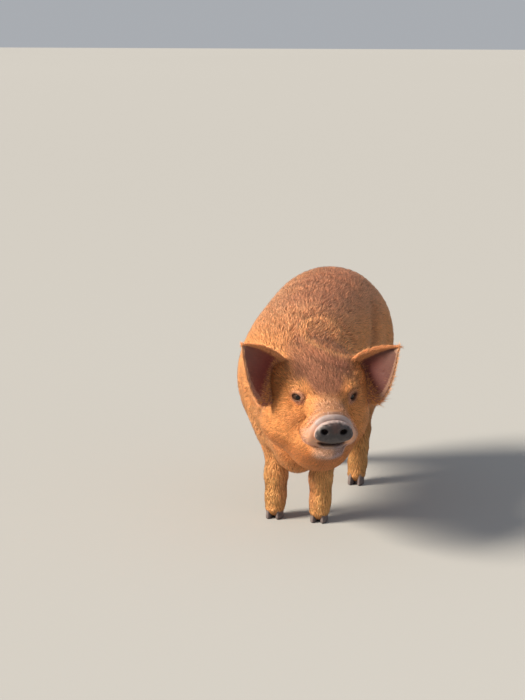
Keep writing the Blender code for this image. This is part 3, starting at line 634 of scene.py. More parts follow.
def marking(p, q):
    """The animal's colour at points of its surface, with some light and shade painted in: p in its own frame, q the
    same in the head's.
    """
    c = np.repeat(GINGER[None], len(p), 0)
    r, f, u = np.abs(q[:, 0]), q[:, 1], q[:, 2]
    head = head_share(p, q)
    # the body: paler on the shoulder, flanks and lower sides; along the top a greyer tint, painted sky light on the
    # up-facing back
    c = mix(c, GINGER_PALE, 0.55 * smooth(0.42, 0.25, p[:, 2]) * (1 - head))
    c = mix(c, SKYLIT_BACK, 0.75 * smooth(0.40, 0.50, p[:, 2]) * (1 - head))
    c = mix(c, GINGER_PALE, 0.35 * np.clip(bands(p, 0.16, 5), 0, 1))
    c = mix(c, DARK_BACK, 0.22 * np.clip(-bands(p, 0.10, 9), 0, 1))
    # legs: golden cream, with painted shade on their inner sides
    leg = smooth(0.175, 0.100, p[:, 2])
    c = mix(c, CREAM, 0.85 * leg)
    c = mix(c, MAUVE, 0.35 * leg * smooth(0.020, 0.045, 0.075 - np.abs(p[:, 0])) * smooth(0.03, 0.06, p[:, 2]))
    c = mix(c, DARK_BACK, 0.35 * smooth(0.034, 0.020, p[:, 2]))
    # nape and forehead: reddish mauve between the ears, down to between the eyes
    nape = smooth(-0.200, -0.120, f) * smooth(-0.004, -0.030, f - 0.9 * (u - 0.030)) * smooth(-0.01, 0.03, u)
    nape = np.maximum(nape * smooth(0.085, 0.050, r), smooth(0.060, 0.034, r + 0.75 * np.maximum(f + 0.01, 0)) * smooth(0.048, 0.016, f) * smooth(-0.03, 0.00, u) * smooth(-0.200, -0.150, f))
    c = mix(c, NAPE, (0.56 + 0.24 * smooth(-0.120, -0.040, f)) * nape)
    # brows: a pale level over and between the eyes
    brow = ridge(f - 0.038, 0.016) * smooth(0.060, 0.030, r) * smooth(-0.060, -0.020, u) + 0.9 * ridge(f + 0.006, 0.020) * ridge(r - 0.062, 0.018) * smooth(-0.004, 0.012, u)
    c = mix(c, BROW_PALE * 0.60, 0.30 * brow * head)
    # a painted highlight along the roll behind the nape, painted shade in the hollow behind it and a painted shadow
    # along the crease of the flank
    e = nape_roll(q)
    c = mix(c, GINGER_PALE, 0.60 * ridge(e - 1.0, 0.085) * smooth(0.02, 0.05, u))
    c = mix(c, MAUVE, 0.22 * ridge(e - 1.26, 0.12) * smooth(0.02, 0.05, u))
    # a mauve strip along the spine: partly the skin showing through the coat, partly painted shade over the middle of
    # the back
    c = mix(c, MAUVE, 0.42 * smooth(0.10, 0.03, np.abs(p[:, 0] - 0.01)) * smooth(0.44, 0.48, p[:, 2]) * smooth(0.02, 0.10, p[:, 1]) * (1 - head))
    c = mix(c, DARK_BACK, 0.45 * flank(p))
    # cheeks: clear ginger; jowl a little redder below
    c = mix(c, JOWL, 0.70 * head * smooth(-0.084, -0.112, u) * smooth(0.10, 0.06, f + 0.2 * r))
    # muzzle sides and lips: bare pink
    side = smooth(0.040, 0.074, f - 0.30 * (r - 0.03) + 0.006 * bands(q, 0.02, 71)) * smooth(0.018, 0.034, r) * smooth(0.004, -0.020, u) * smooth(-0.084, -0.066, u)
    c = mix(c, PINK, 0.85 * side)
    c = mix(c, GINGER, 0.25 * side * np.clip(bands(q, 0.012, 72), 0, 1))
    c = mix(c, BRIDGE, 0.55 * smooth(0.022, 0.052, f) * smooth(-0.030, -0.010, u) * smooth(0.040, 0.022, r))
    top = smooth(0.066, 0.078, f) * smooth(-0.055, -0.020, u)
    c = mix(c, RIM, 0.60 * top)
    # chin: pale at the left of the middle, its own pale tone brightened as painted light, and greyer at the right as
    # painted shade
    chin = smooth(0.040, 0.062, f) * smooth(-0.064, -0.072, u) * smooth(-0.125, -0.100, u)
    c = mix(c, CHIN_PALE_LIT, 0.85 * chin * smooth(0.022, -0.004, q[:, 0]) * smooth(0.040, 0.020, r))
    c = mix(c, RIM * 0.7, 0.75 * chin * smooth(-0.004, 0.012, q[:, 0]) * smooth(0.042, 0.026, r))
    # the disc with its paler rim
    over = smooth(-0.030, -0.012, u)
    rim = smooth(0.0930 - 0.0190 * over, 0.0990 - 0.0190 * over, f) * smooth(-0.062, -0.046, u)
    c = mix(c, RIM, 0.88 * rim)
    # painted shade in the groove behind the rim: dark red over the top, mauve down the sides
    c = mix(c, DISC_RED, 0.75 * ridge(f - 0.0925 + 0.10 * r, 0.0017) * smooth(-0.060, -0.040, u) * smooth(0.030, 0.020, r))
    c = mix(c, MAUVE, 0.65 * ridge(f - 0.0925 + 0.10 * r, 0.0016) * smooth(-0.070, -0.058, u) * smooth(0.024, 0.034, r))
    near = disc_round(q)
    disc = smooth(0.0950 - 0.009 * smooth(-0.050, -0.062, u), 0.1000 - 0.009 * smooth(-0.050, -0.062, u), f) * smooth(1.16, 0.94, near + 0.05 * bands(q, 0.012, 73))
    c = mix(c, DISC, 0.96 * disc)
    c = mix(c, DISC_LOW, 0.85 * disc * smooth(-0.036, -0.044, u) * (0.6 + 0.4 * bands(q, 0.010, 74)))
    c = mix(c, DISC_RED, 0.80 * disc * ridge(q[:, 0], 0.010) * smooth(-0.036, -0.026, u))
    # nostrils painted near-black: painted shade inside the holes
    for s in (1, -1):
        hole = np.sqrt(((q[:, 0] - s * 0.0205 + 0.0020) / 1.3) ** 2 + (u - NOSTRIL_U) ** 2)
        c = mix(c, (0.012, 0.008, 0.008), 0.95 * smooth(0.0085, 0.0060, hole) * smooth(0.1082, 0.1050, f) * smooth(0.070, 0.080, f))
    m = MOUTH_U + 0.0100 * smooth(0.014, 0.046, r)
    under = smooth(0.050, 0.070, f) * smooth(0.036, 0.022, r)
    c = mix(c, RIM * 0.62, 0.70 * under * ridge(u - m + 0.0062, 0.0038))
    c = mix(c, DISC, 0.92 * smooth(0.066, 0.080, f) * smooth(0.034, 0.024, r) * smooth(0.0, 0.0016, u - m) * smooth(0.0100, 0.0060, u - m))
    c = mix(c, (0.030, 0.014, 0.012), 0.92 * smooth(0.040, 0.060, f) * ridge(u - m, 0.0024) * smooth(0.034, 0.014, r))
    # painted shade at the corners of the mouth
    c = mix(c, JOWL * 0.7, 0.55 * ridge(f - 0.042, 0.010) * ridge(u - m, 0.0100) * smooth(0.030, 0.040, r))
    # lids
    for s in (1, -1):
        ax = eye_axes(s)
        e = (q - np.array(eye_at(s))) @ ax.T
        ring = np.sqrt((e[:, 0] / 1.25) ** 2 + e[:, 2] ** 2)
        front = smooth(0.0, 0.006, e[:, 1])
        inner = smooth(0.002, -0.010, e[:, 0])
        w = smooth(0.0150 + 0.0040 * inner, 0.0115, ring) * front
        c = mix(c, LID_PINK, (0.40 + 0.35 * inner) * w)
        # painted shade in the crease over the upper lid
        c = mix(c, MAUVE * 0.55, 0.35 * ridge(ring - 0.0172, 0.0016) * smooth(0.002, 0.008, e[:, 2]) * front)
        c = mix(c, JOWL * 0.6, 0.55 * smooth(0.006, 0.012, e[:, 0]) * ridge(e[:, 2] + 0.0035, 0.0035) * smooth(0.021, 0.014, ring) * front)
        c = mix(c, DISC_RED * 0.6, 0.75 * smooth(0.0100, 0.0084, ring) * front)
    return c


def ear_share(p, normals):
    """For each point: how far it is on an ear (0 to 1), how much it faces the cup, and how near the edge it lies."""
    on = np.zeros(len(p))
    inside = np.zeros(len(p))
    edge = np.ones(len(p))
    root = np.ones(len(p))
    for side, (tree, v, f, t) in zip((1, -1), EAR_TREES):
        lo, hi = v.min(0) - 0.01, v.max(0) + 0.01
        for i in np.flatnonzero(((p > lo) & (p < hi)).all(1)):
            at, n, face, dist = tree.find_nearest(Vector(p[i]), 0.009)
            if face is None:
                continue
            tt = t[f[face]].mean()
            on[i] = smooth(0.0085, 0.0045, np.array(dist))
            k, j = divmod(face, EAR_GRID[1])
            s = (k + 0.5) / EAR_GRID[0]
            root[i] = tt
            edge[i] = min(min(s, 1 - s) * 2, 1 - max(tt, 0))
            inside[i] = 1.0 if side * (np.array(n) @ normals[i]) * EAR_FACING > 0 else 0.0
            wide = 0.30 if side > 0 else 0.17
            inside[i] *= 1 - smooth(wide, wide - 0.11, np.array(s))
    return on, inside, edge, root


EAR_GRID = (20, 26)
EAR_FACING = -1


# ---------------------------------------------------------------- build the skin
def thin_skin(obj, wanted, keep):
    """Fewer triangles where keep is 0, nearly all of them where it is 1."""
    g = obj.vertex_groups.new(name="spare")
    for i, w in enumerate(np.round(keep, 1)):
        g.add([i], 1.0 - 0.93 * float(w), "REPLACE")
    m = obj.modifiers.new("thin", "DECIMATE")
    m.vertex_group = "spare"
    m.vertex_group_factor = 0.002
    m.ratio = wanted / (2.0 * len(obj.data.polygons))
    m.use_collapse_triangulate = True
    keep_modifiers(obj)
    obj.vertex_groups.clear()


def split_triangles(v, f, chosen):
    """Splits the chosen triangles in four and fits their neighbours to them."""
    e = np.concatenate([f[:, [0, 1]], f[:, [1, 2]], f[:, [2, 0]]])
    key = np.sort(e, 1)
    uniq, inv = np.unique(key, axis=0, return_inverse=True)
    inv = inv.reshape(-1).reshape(3, -1).T
    cut_edge = np.zeros(len(uniq), bool)
    cut_edge[inv[chosen].ravel()] = True
    mid = np.full(len(uniq), -1)
    mid[cut_edge] = len(v) + np.arange(cut_edge.sum())
    v = np.concatenate([v, (v[uniq[cut_edge, 0]] + v[uniq[cut_edge, 1]]) / 2])
    m = mid[inv]
    n = (m >= 0).sum(1)
    out = [f[n == 0]]
    a = f[n == 3]
    b = m[n == 3]
    out += [np.stack(x, 1) for x in ((a[:, 0], b[:, 0], b[:, 2]), (b[:, 0], a[:, 1], b[:, 1]), (b[:, 2], b[:, 1], a[:, 2]), (b[:, 0], b[:, 1], b[:, 2]))]
    for turn in range(3):
        ff, mm = np.roll(f, -turn, 1), np.roll(m, -turn, 1)
        one = (n == 1) & (mm[:, 0] >= 0)
        a, b = ff[one], mm[one]
        out += [np.stack((a[:, 0], b[:, 0], a[:, 2]), 1), np.stack((b[:, 0], a[:, 1], a[:, 2]), 1)]
        two = (n == 2) & (mm[:, 0] < 0)
        a, b = ff[two], mm[two]
        out += [np.stack((b[:, 1], a[:, 2], b[:, 2]), 1), np.stack((a[:, 0], a[:, 1], b[:, 1]), 1), np.stack((a[:, 0], b[:, 1], b[:, 2]), 1)]
    return v, np.concatenate(out)


def triangles(mesh):
    mesh.calc_loop_triangles()
    t = np.empty(len(mesh.loop_triangles) * 3, np.int32)
    mesh.loop_triangles.foreach_get("vertices", t)
    return t.reshape(-1, 3).astype(int)


def vertex_normals(v, f):
    n = np.cross(v[f[:, 1]] - v[f[:, 0]], v[f[:, 2]] - v[f[:, 0]])
    out = np.zeros_like(v)
    for k in range(3):
        for a in range(3):
            out[:, a] += np.bincount(f[:, k], n[:, a], len(v))
    return out / (np.linalg.norm(out, axis=1)[:, None] + 1e-12)


def build_skin():
    h = 0.0023
    v, f = lattice_skin(skin_distance, (-0.24, -0.41, 0.004), (0.31, 0.64, 0.62), h)
    obj = add_object("skin_raw", v, f)
    q = to_head(v)
    face = smooth(-0.050, -0.010, q[:, 1]) * smooth(0.11, 0.09, np.abs(q[:, 0])) * smooth(-0.14, -0.10, q[:, 2])
    ears = np.zeros(len(v))
    for tree, ev, ef, et in EAR_TREES:
        lo, hi = ev.min(0) - 0.006, ev.max(0) + 0.006
        ears = np.maximum(ears, ((v > lo) & (v < hi)).all(1) * 0.8)
    legs = 0.5 * smooth(0.13, 0.09, v[:, 2])
    thin_skin(obj, 112000, np.maximum(np.maximum(face, ears), legs))
    v, f = read(obj.data), triangles(obj.data)
    q = to_head(v[f].mean(1))
    chosen = (q[:, 1] > -0.024) & (np.abs(q[:, 0]) < 0.096) & (q[:, 2] > -0.104) & (q[:, 2] < 0.032)
    chosen &= (q[:, 1] > 0.035) | ((np.abs(q[:, 0]) > 0.022) & (q[:, 2] > -0.040))
    v, f = split_triangles(v, f, np.flatnonzero(chosen))
    bpy.data.objects.remove(obj)
    d = ear_distance(v, 0.012)
    free = d > 0.006
    moved = settle(flesh_distance, v[free], 3)
    v[free] = moved
    return v, f


SKIN_V, SKIN_F = build_skin()
SKIN_N = vertex_normals(SKIN_V, SKIN_F)
SKIN_Q = to_head(SKIN_V)


def skin_colours():
    c = marking(SKIN_V, SKIN_Q)
    on, inside, edge, root = ear_share(SKIN_V, SKIN_N)
    ear = np.repeat(EAR_OUT[None], len(SKIN_V), 0)
    # the cup of the left ear is darkened as painted shade and that of the right ear lightened as painted light
    cup = mix(np.repeat(EAR_IN[None], len(SKIN_V), 0), EAR_IN_TIP, smooth(0.25, 0.95, root)) * np.where(SKIN_Q[:, 0] > 0, 0.62, 1.12)[:, None]
    cup = mix(cup, EAR_RIM * 0.8, 0.45 * smooth(0.10, 0.02, edge) + 0.25 * smooth(0.88, 0.98, root))
    cup = mix(cup, GINGER * 0.75, 0.85 * smooth(0.30, 0.12, root))
    ear = ear + (cup - ear) * inside[:, None]
    return mix(c, ear, on * smooth(-0.02, 0.12, root)), on, inside, np.where(on > 0.3, root, 1.0)


SKIN_C, SKIN_EAR, SKIN_CUP, SKIN_ROOT = skin_colours()


# ---------------------------------------------------------------- lie and length of the coat
def axis_point(y):
    """Middle line of the trunk at a station along the body."""
    return np.stack([np.zeros_like(y), y, 0.30 + 0.05 * smooth(-0.05, 0.45, y)], 1)


def unit(v):
    return v / (np.linalg.norm(v, axis=1)[:, None] + 1e-12)


def lie_of_coat(p, q, n):
    """The way the hair runs at each point, before it is laid on the skin."""
    out = np.zeros_like(p)
    side = np.abs(n[:, 0])
    up = n[:, 2]
    # trunk: back towards the tail, falling off down the sides
    d = np.stack([0.12 * np.sign(p[:, 0]) * side, np.ones(len(p)), -0.25 - 0.75 * side * smooth(0.45, 0.20, p[:, 2])], 1)
    rump = smooth(0.42, 0.54, p[:, 1])
    d = d + rump[:, None] * (np.array((0, 0.10, -1.3)) - d * 0.65)
    chest = smooth(-0.35, -0.75, n[:, 1]) * smooth(0.10, -0.05, p[:, 1]) * smooth(0.33, 0.26, p[:, 2])
    d = d + chest[:, None] * (np.stack([0.25 * np.sign(p[:, 0]) * np.ones(len(p)), 0 * side, -np.ones(len(p))], 1) - d)
    leg = smooth(0.200, 0.130, p[:, 2])
    d = d + leg[:, None] * (np.array((0, 0.12, -1.0)) - d)
    belly = smooth(-0.55, -0.80, up) * smooth(0.13, 0.17, p[:, 2])
    d = d + belly[:, None] * (np.array((0, 1.0, 0.0)) - d)
    out = unit(d)
    # head: back from the snout, down over cheeks and jowls, a fan up over the forehead
    r, f, u = q[:, 0], q[:, 1], q[:, 2]
    ar = np.abs(r)
    h = np.stack([0.35 * np.sign(r) * smooth(0.0, 0.03, ar), -np.ones(len(p)), np.zeros(len(p))], 1)
    cheek = smooth(0.030, 0.065, ar) * smooth(0.010, -0.030, u)
    h = h + cheek[:, None] * (np.stack([0.25 * np.sign(r), -0.85 * np.ones(len(p)), -0.55 * np.ones(len(p))], 1) - h)
    jaw = smooth(-0.070, -0.110, u)
    h = h + jaw[:, None] * (np.stack([0.15 * np.sign(r), -0.75 * np.ones(len(p)), -0.70 * np.ones(len(p))], 1) - h)
    crown = smooth(0.000, 0.024, u) * smooth(0.020, -0.020, f) * smooth(0.080, 0.045, ar)
    h = h + crown[:, None] * (np.stack([7.0 * r, -0.80 * np.ones(len(p)), 0.55 * np.ones(len(p))], 1) - h)
    for s in (1, -1):
        e = q - np.array(eye_at(s))
        w = smooth(0.046, 0.016, np.linalg.norm(e, axis=1))
        away = unit(e + np.array((s * 0.004, -0.010, 0.0)))
        h = h + (0.75 * w)[:, None] * (away - h)
    h = unit(h) @ HEAD_ROT
    w = head_share(p, q)
    out = unit(out + w[:, None] * (h - out))
    # the coat breaks into locks that lean this way and that
    turn = 0.17 * bands(p, 0.050, 21) + 0.10 * bands(p, 0.019, 22)
    turn = turn * (1 - 0.45 * w)
    out = out + np.cross(n, out) * turn[:, None]
    return out


def laid(d, n, lift=0.0):
    t = unit(d - (d * n).sum(1)[:, None] * n)
    return t


def scatter(weights, count, seed):
    """Points spread over the skin's triangles by weight, evenly rather than by chance."""
    rng = np.random.default_rng(seed)
    a, b, c = (SKIN_V[SKIN_F[:, k]] for k in range(3))
    area = np.linalg.norm(np.cross(b - a, c - a), axis=1) / 2 * weights
    total = np.cumsum(area)
    t = (np.arange(count) + rng.random(count) * 0.9) / count * total[-1]
    k = np.minimum(np.searchsorted(total, t), len(area) - 1)
    s, w = rng.random(count), rng.random(count)
    flip = s + w > 1
    s[flip], w[flip] = 1 - s[flip], 1 - w[flip]
    p = a[k] + s[:, None] * (b[k] - a[k]) + w[:, None] * (c[k] - a[k])
    bary = np.stack([1 - s - w, s, w], 1)
    n = unit((SKIN_N[SKIN_F[k]] * bary[:, :, None]).sum(1))
    col = (SKIN_C[SKIN_F[k]] * bary[:, :, None]).sum(1)
    return p, n, col, k


def region_weights():
    """For each triangle of the skin, how thickly hair stands on it: trunk, head, legs, tail, ears."""
    c = SKIN_V[SKIN_F].mean(1)
    q = to_head(c)
    n = unit(SKIN_N[SKIN_F].mean(1))
    ear = SKIN_EAR[SKIN_F].mean(1)
    cup = SKIN_CUP[SKIN_F].mean(1)
    head = head_share(c, q)
    leg = smooth(0.165, 0.140, c[:, 2])
    tail = (tail_distance(c) < 0.006) & (c[:, 1] > 0.535)
    bare = bare_muzzle(q)
    muzzle = smooth(0.034, 0.078, q[:, 1] - 0.30 * (np.abs(q[:, 0]) - 0.03)) * smooth(-0.070, -0.062, q[:, 2])
    eyes = eye_near(q, 0.022)
    sole = c[:, 2] > 0.0245
    on_ear = ear > 0.5
    base = sole & ~on_ear
    trunk = base * (1 - head) * (1 - leg) * (1 - tail * 1.0) * (0.55 + 0.45 * smooth(-0.9, -0.3, n[:, 2]))
    fine = 1.0 + 0.7 * smooth(-0.08, 0.02, q[:, 1])
    heads = base * head * (1 - bare) * (1 - 0.98 * muzzle ** 0.6) * (1 - smooth(0.30, 0.75, eyes)) * fine
    legs = base * (1 - head) * leg
    tails = base * tail * 1.0
    ears = on_ear * np.where(cup > 0.5, 0.10 + 1.5 * smooth(0.36, 0.16, SKIN_ROOT[SKIN_F].mean(1)), 1.0)
    return trunk, heads, legs, tails, ears


def heights(points, want, n):
    """Moves points along the skin's outward way until they stand at the wanted height over it."""
    p = points.copy()
    for _ in range(2):
        d, g = gradient(smooth_flesh, p, 0.0008)
        g = unit(g)
        p += g * np.clip(want - d, -0.02, 0.02)[:, None]
    return p


def smooth_flesh(p):
    return flesh_distance(p, detail=False)


def write_tufts(name, root, n, mid, tip, wide, width, colour, mid_colour, tip_colour, uv, slot):
    """One mesh of all the tufts, with its colours and its OFBake map."""
    m = len(root)
    base = root - n * 0.0010
    thick = width * 0.42
    d1 = unit(tip - mid)
    n1 = unit(np.cross(wide, d1))
    n1 *= np.sign((n1 * n).sum(1))[:, None]
    half = (width / 2)[:, None]
    ring0 = np.stack([base - wide * half * 0.8, base + wide * half * 0.8, base + n * thick[:, None] * 0.8], 1)
    ring1 = np.stack([mid - wide * half, mid + wide * half, mid + n1 * thick[:, None]], 1)
    verts = np.concatenate([ring0, ring1, tip[:, None]], 1).reshape(-1, 3)
    o = (np.arange(m) * 7)[:, None, None]
    side = np.array([(0, 1, 4), (0, 4, 3), (1, 2, 5), (1, 5, 4), (2, 0, 3), (2, 3, 5), (3, 4, 6), (4, 5, 6), (5, 3, 6)])
    faces = (o + side[None]).reshape(-1, 3)
    obj = add_object(name, verts + SHIFT, faces)
    c = np.concatenate([np.repeat(colour[:, None], 3, 1), np.repeat(mid_colour[:, None], 3, 1), tip_colour[:, None]], 1).reshape(-1, 3)
    write_colour(obj.data, c)
    layer = obj.data.uv_layers.new(name="OFBake")
    e = 0.0030
    local = np.array([(0, 0), (1, 0), (0.5, 0), (0, 0.55), (1, 0.55), (0.5, 0.55), (0.5, 1)]) - 0.5
    v_uv = (uv[:, None] + local[None] * e).reshape(-1, 2)
    layer.data.foreach_set("uv", v_uv[faces.ravel()].astype(np.float32).ravel())
    return obj


def round_unwrap(p, centre, along, top):
    """Angle round an axis and place along it, for points of a part that is roughly round."""
    along = np.asarray(along, float)
    along = along / np.linalg.norm(along)
    top = np.asarray(top, float)
    top = top - along * (top @ along)
    top /= np.linalg.norm(top)
    across = np.cross(along, top)
    d = p - centre
    return np.stack([0.5 + np.arctan2(d @ across, d @ top) / (2 * np.pi), d @ along], 1)


def fit_uv(uv):
    lo, hi = uv.min(0), uv.max(0)
    return 0.006 + 0.988 * (uv - lo) / np.maximum(hi - lo, 1e-6)


PIECES = []


def piece(obj, mat):
    obj.data.materials.append(mat)
    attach(obj, "root")
    PIECES.append(obj)
    return obj


# ---------------------------------------------------------------- materials
def node_material(name, roughness, bump=(), tint_noise=(0.10, 60.0), coat=0.0, sheen=0.0, subsurface=0.0, specular=0.35):
    """A Principled finish over the Tint colours: noise varies the colour and roughness, and bump layers follow the scales given."""
    m = bpy.data.materials.new(name)
    m.use_nodes = True
    nt = m.node_tree
    s = nt.nodes["Principled BSDF"]
    s.inputs["Metallic"].default_value = 0.0
    s.inputs["Specular IOR Level"].default_value = specular
    s.inputs["Coat Weight"].default_value = coat
    s.inputs["Coat Roughness"].default_value = 0.08
    s.inputs["Sheen Weight"].default_value = sheen
    s.inputs["Sheen Roughness"].default_value = 0.5
    s.inputs["Sheen Tint"].default_value = (1.0, 0.72, 0.45, 1.0)
    if subsurface:
        s.inputs["Subsurface Weight"].default_value = subsurface
        s.inputs["Subsurface Radius"].default_value = (0.006, 0.002, 0.001)
        s.inputs["Subsurface Scale"].default_value = 1.0
    tint = nt.nodes.new("ShaderNodeAttribute")
    tint.attribute_name = "Tint"
    where = nt.nodes.new("ShaderNodeTexCoord")
    noise = nt.nodes.new("ShaderNodeTexNoise")
    noise.inputs["Scale"].default_value = tint_noise[1]
    noise.inputs["Detail"].default_value = 5.0
    nt.links.new(where.outputs["Object"], noise.inputs["Vector"])
    spread = nt.nodes.new("ShaderNodeMapRange")
    spread.inputs["From Min"].default_value = 0.3
    spread.inputs["From Max"].default_value = 0.7
    spread.inputs["To Min"].default_value = 1 - tint_noise[0]
    spread.inputs["To Max"].default_value = 1 + tint_noise[0]
    nt.links.new(noise.outputs["Fac"], spread.inputs["Value"])
    times = nt.nodes.new("ShaderNodeVectorMath")
    times.operation = "SCALE"
    nt.links.new(tint.outputs["Color"], times.inputs[0])
    nt.links.new(spread.outputs["Result"], times.inputs["Scale"])
    nt.links.new(times.outputs["Vector"], s.inputs["Base Color"])
    rough = nt.nodes.new("ShaderNodeMapRange")
    rough.inputs["To Min"].default_value = max(0.02, roughness - 0.10)
    rough.inputs["To Max"].default_value = min(1.0, roughness + 0.10)
    nt.links.new(noise.outputs["Fac"], rough.inputs["Value"])
    nt.links.new(rough.outputs["Result"], s.inputs["Roughness"])
    last = None
    for kind, scale, strength, distance in bump:
        if kind == "voronoi":
            tex = nt.nodes.new("ShaderNodeTexVoronoi")
            tex.feature = "DISTANCE_TO_EDGE"
            out = tex.outputs["Distance"]
        else:
            tex = nt.nodes.new("ShaderNodeTexNoise")
            tex.inputs["Detail"].default_value = 6.0
            out = tex.outputs["Fac"]
        tex.inputs["Scale"].default_value = scale
        nt.links.new(where.outputs["Object"], tex.inputs["Vector"])
        b = nt.nodes.new("ShaderNodeBump")
        b.inputs["Strength"].default_value = strength
        b.inputs["Distance"].default_value = distance
        nt.links.new(out, b.inputs["Height"])
        if last:
            nt.links.new(last.outputs["Normal"], b.inputs["Normal"])
        last = b
    if last:
        nt.links.new(last.outputs["Normal"], s.inputs["Normal"])
    return m


SKIN_MAT = node_material("pig_skin", 0.52, (("voronoi", 420.0, 0.35, 0.0006), ("noise", 900.0, 0.30, 0.0004), ("noise", 90.0, 0.20, 0.0012)), (0.10, 70.0), subsurface=0.10, specular=0.40)
HAIR_MAT = node_material("ginger_hair", 0.58, (), (0.07, 180.0), sheen=0.05, specular=0.20)
EYE_MAT = node_material("wet_eye", 0.10, (), (0.06, 500.0), coat=0.10, specular=0.30)
HORN_MAT = node_material("hoof_growth", 0.46, (("noise", 160.0, 0.35, 0.0008), ("noise", 900.0, 0.20, 0.0003)), (0.22, 110.0), specular=0.35)


# ---------------------------------------------------------------- the skin as a piece
skin = piece(add_object("skin", SKIN_V + SHIFT, SKIN_F), SKIN_MAT)
FLESH = ["trunk", "tail", "neck", "head", "lower_jaw", "snout_disc", "ear_left", "ear_right"] + [f + "_leg" for f in FEET]
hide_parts(*FLESH)
shade = 0.72 + 0.28 * np.clip(np.maximum(np.maximum(bare_muzzle(SKIN_Q), SKIN_EAR), eye_near(SKIN_Q, 0.026)), 0, 1)[:, None]
write_colour(skin.data, SKIN_C * shade)

# ---------------------------------------------------------------- the coat
HAIR_GAIN = np.array((1.55, 1.76, 2.30))
COUNTS = dict(trunk=88000, head=48000, legs=18000, tail=1500, ears=9000)
W_TRUNK, W_HEAD, W_LEGS, W_TAIL, W_EARS = region_weights()


def grow(name, weights, count, seed, length, width, depth, slot, pieces, unwrap, order, raise_at=None, tip_pale=0.34, spread=0.12, face=False):
    rng = np.random.default_rng(seed)
    p, n, col, k = scatter(weights, count, seed)
    q = to_head(p)
    if face:
        length, width, depth, keep = face(p, q, n)
    t = laid(lie_of_coat(p, q, n) + rng.normal(size=p.shape) * 0.10, n)
    size = np.exp(rng.normal(size=count) * 0.20)
    wave = 0.5 + 0.5 * bands(p * np.array((0.6, 1.3, 0.6)), 0.055, 33)
    ln = length * size * (0.85 + 0.3 * wave)
    wd = width * np.exp(rng.normal(size=count) * 0.18)
    up = depth * np.clip(0.45 + 0.42 * rng.random(count) + 0.22 * (wave - 0.5), 0.2, 1.0)
    if raise_at is not None:
        up = up + raise_at(p, q) * rng.random(count)
    wide = unit(np.cross(t, n))
    bend = rng.normal(size=count) * 0.55 + 0.5 * bands(p, 0.03, 44)
    mid = p + t * (0.48 * ln)[:, None] + wide * (bend * ln * 0.05)[:, None]
    tip = p + t * ln[:, None] + wide * (bend * ln * 0.20)[:, None]
    mid = heights(mid, up * 0.62, n)
    tip = heights(tip, up, n)
    streak = smooth(0.000, 0.024, q[:, 2]) * smooth(0.030, -0.010, q[:, 1]) * smooth(0.34, 0.22, np.linalg.norm(q, axis=1))
    tone = np.exp(rng.normal(size=count) * (spread + 0.16 * streak)) * (1 + 0.22 * streak * bands(p, 0.006, 57)) * (1 + 0.10 * bands(p, 0.022, 55) + 0.07 * bands(p, 0.008, 56))
    col = np.clip(marking(p, q) * HAIR_GAIN, 0, 0.92)
    warm = rng.normal(size=count)[:, None] * np.array((0.00, 0.025, 0.035))
    col = np.clip(col * (1 + warm), 0, 1) * tone[:, None]
    pale = np.clip(col * np.array((1.22, 1.36, 1.50)) + np.array((0.035, 0.030, 0.012)), 0, 0.95)
    tipc = col + (pale - col) * (tip_pale * (0.4 + 1.2 * rng.random(count)))[:, None]
    root_c = col * np.array((0.62, 0.50, 0.42))
    mid_c = col * 0.96
    key = order(p, q)
    ranks = np.argsort(key, kind="stable")
    for i, part in enumerate(np.array_split(ranks, pieces)):
        uv = fit_uv(unwrap(p[part], q[part]))
        nm = name if pieces == 1 else f"{name}_{i + 1}"
        piece(write_tufts(nm, p[part], n[part], mid[part], tip[part], wide[part], wd[part], root_c[part], mid_c[part], tipc[part], uv, slot), HAIR_MAT)


def trunk_unwrap(p, q):
    return round_unwrap(p, np.array((0.0, 0.0, 0.33)), (0, 1, 0), (0, 0, 1))


def head_unwrap(p, q):
    return round_unwrap(q, np.array((0.0, 0.0, -0.045)), (0, 1, 0), (0, 0, 1))


def legs_unwrap(p, q):
    """Each leg unrolled round its own axis, the four side by side."""
    out = np.zeros((len(p), 2))
    near = np.stack([np.hypot(p[:, 0] - FEET[f][0], p[:, 1] - FEET[f][1] - (0.0 if f.startswith("fore") else 0.03)) for f in FEET], 1).argmin(1)
    for i, f in enumerate(FEET):
        m = near == i
        x, y = FEET[f]
        a = 0.5 + np.arctan2(p[m, 0] - x, -(p[m, 1] - y - (0.005 if f.startswith("fore") else 0.03))) / (2 * np.pi)
        out[m, 0] = (i + 0.03 + 0.94 * a) / 4
        out[m, 1] = p[m, 2]
    return out


def trunk_coat(p, q, n):
    """Length, width and depth of the trunk's hair, shorter towards the head and belly."""
    near_head = smooth(-0.30, -0.16, q[:, 1]) * smooth(0.42, 0.30, np.linalg.norm(q, axis=1))
    ln = 0.0250 - 0.0060 * near_head + 0.004 * smooth(0.42, 0.50, p[:, 2])
    ln = ln - 0.006 * smooth(0.20, 0.15, p[:, 2])
    return ln, np.full(len(p), 0.00092), coat_depth(p, q) * 0.96, None


def face_coat(p, q, n):
    f, u, r = q[:, 1], q[:, 2], np.abs(q[:, 0])
    front = smooth(-0.10, 0.05, f)
    ln = 0.0170 - 0.0095 * front
    crown = smooth(0.010, 0.030, u) * smooth(0.030, -0.020, f) * smooth(0.080, 0.045, r)
    ln = ln + 0.0060 * crown
    ln = ln + 0.0030 * smooth(-0.110, -0.150, u)
    near = eye_near(q, 0.034)
    ln = ln * (1 - 0.50 * near) * (1 - 0.35 * smooth(0.030, 0.066, f))
    wd = 0.00088 - 0.00030 * front
    return ln, wd, coat_depth(p, q) * (0.95 - 0.2 * near), None


def leg_coat(p, q, n):
    low = smooth(0.060, 0.030, p[:, 2])
    ln = 0.0200 - 0.0080 * low
    return ln, np.full(len(p), 0.00090), coat_depth(p, q) * 0.95, None


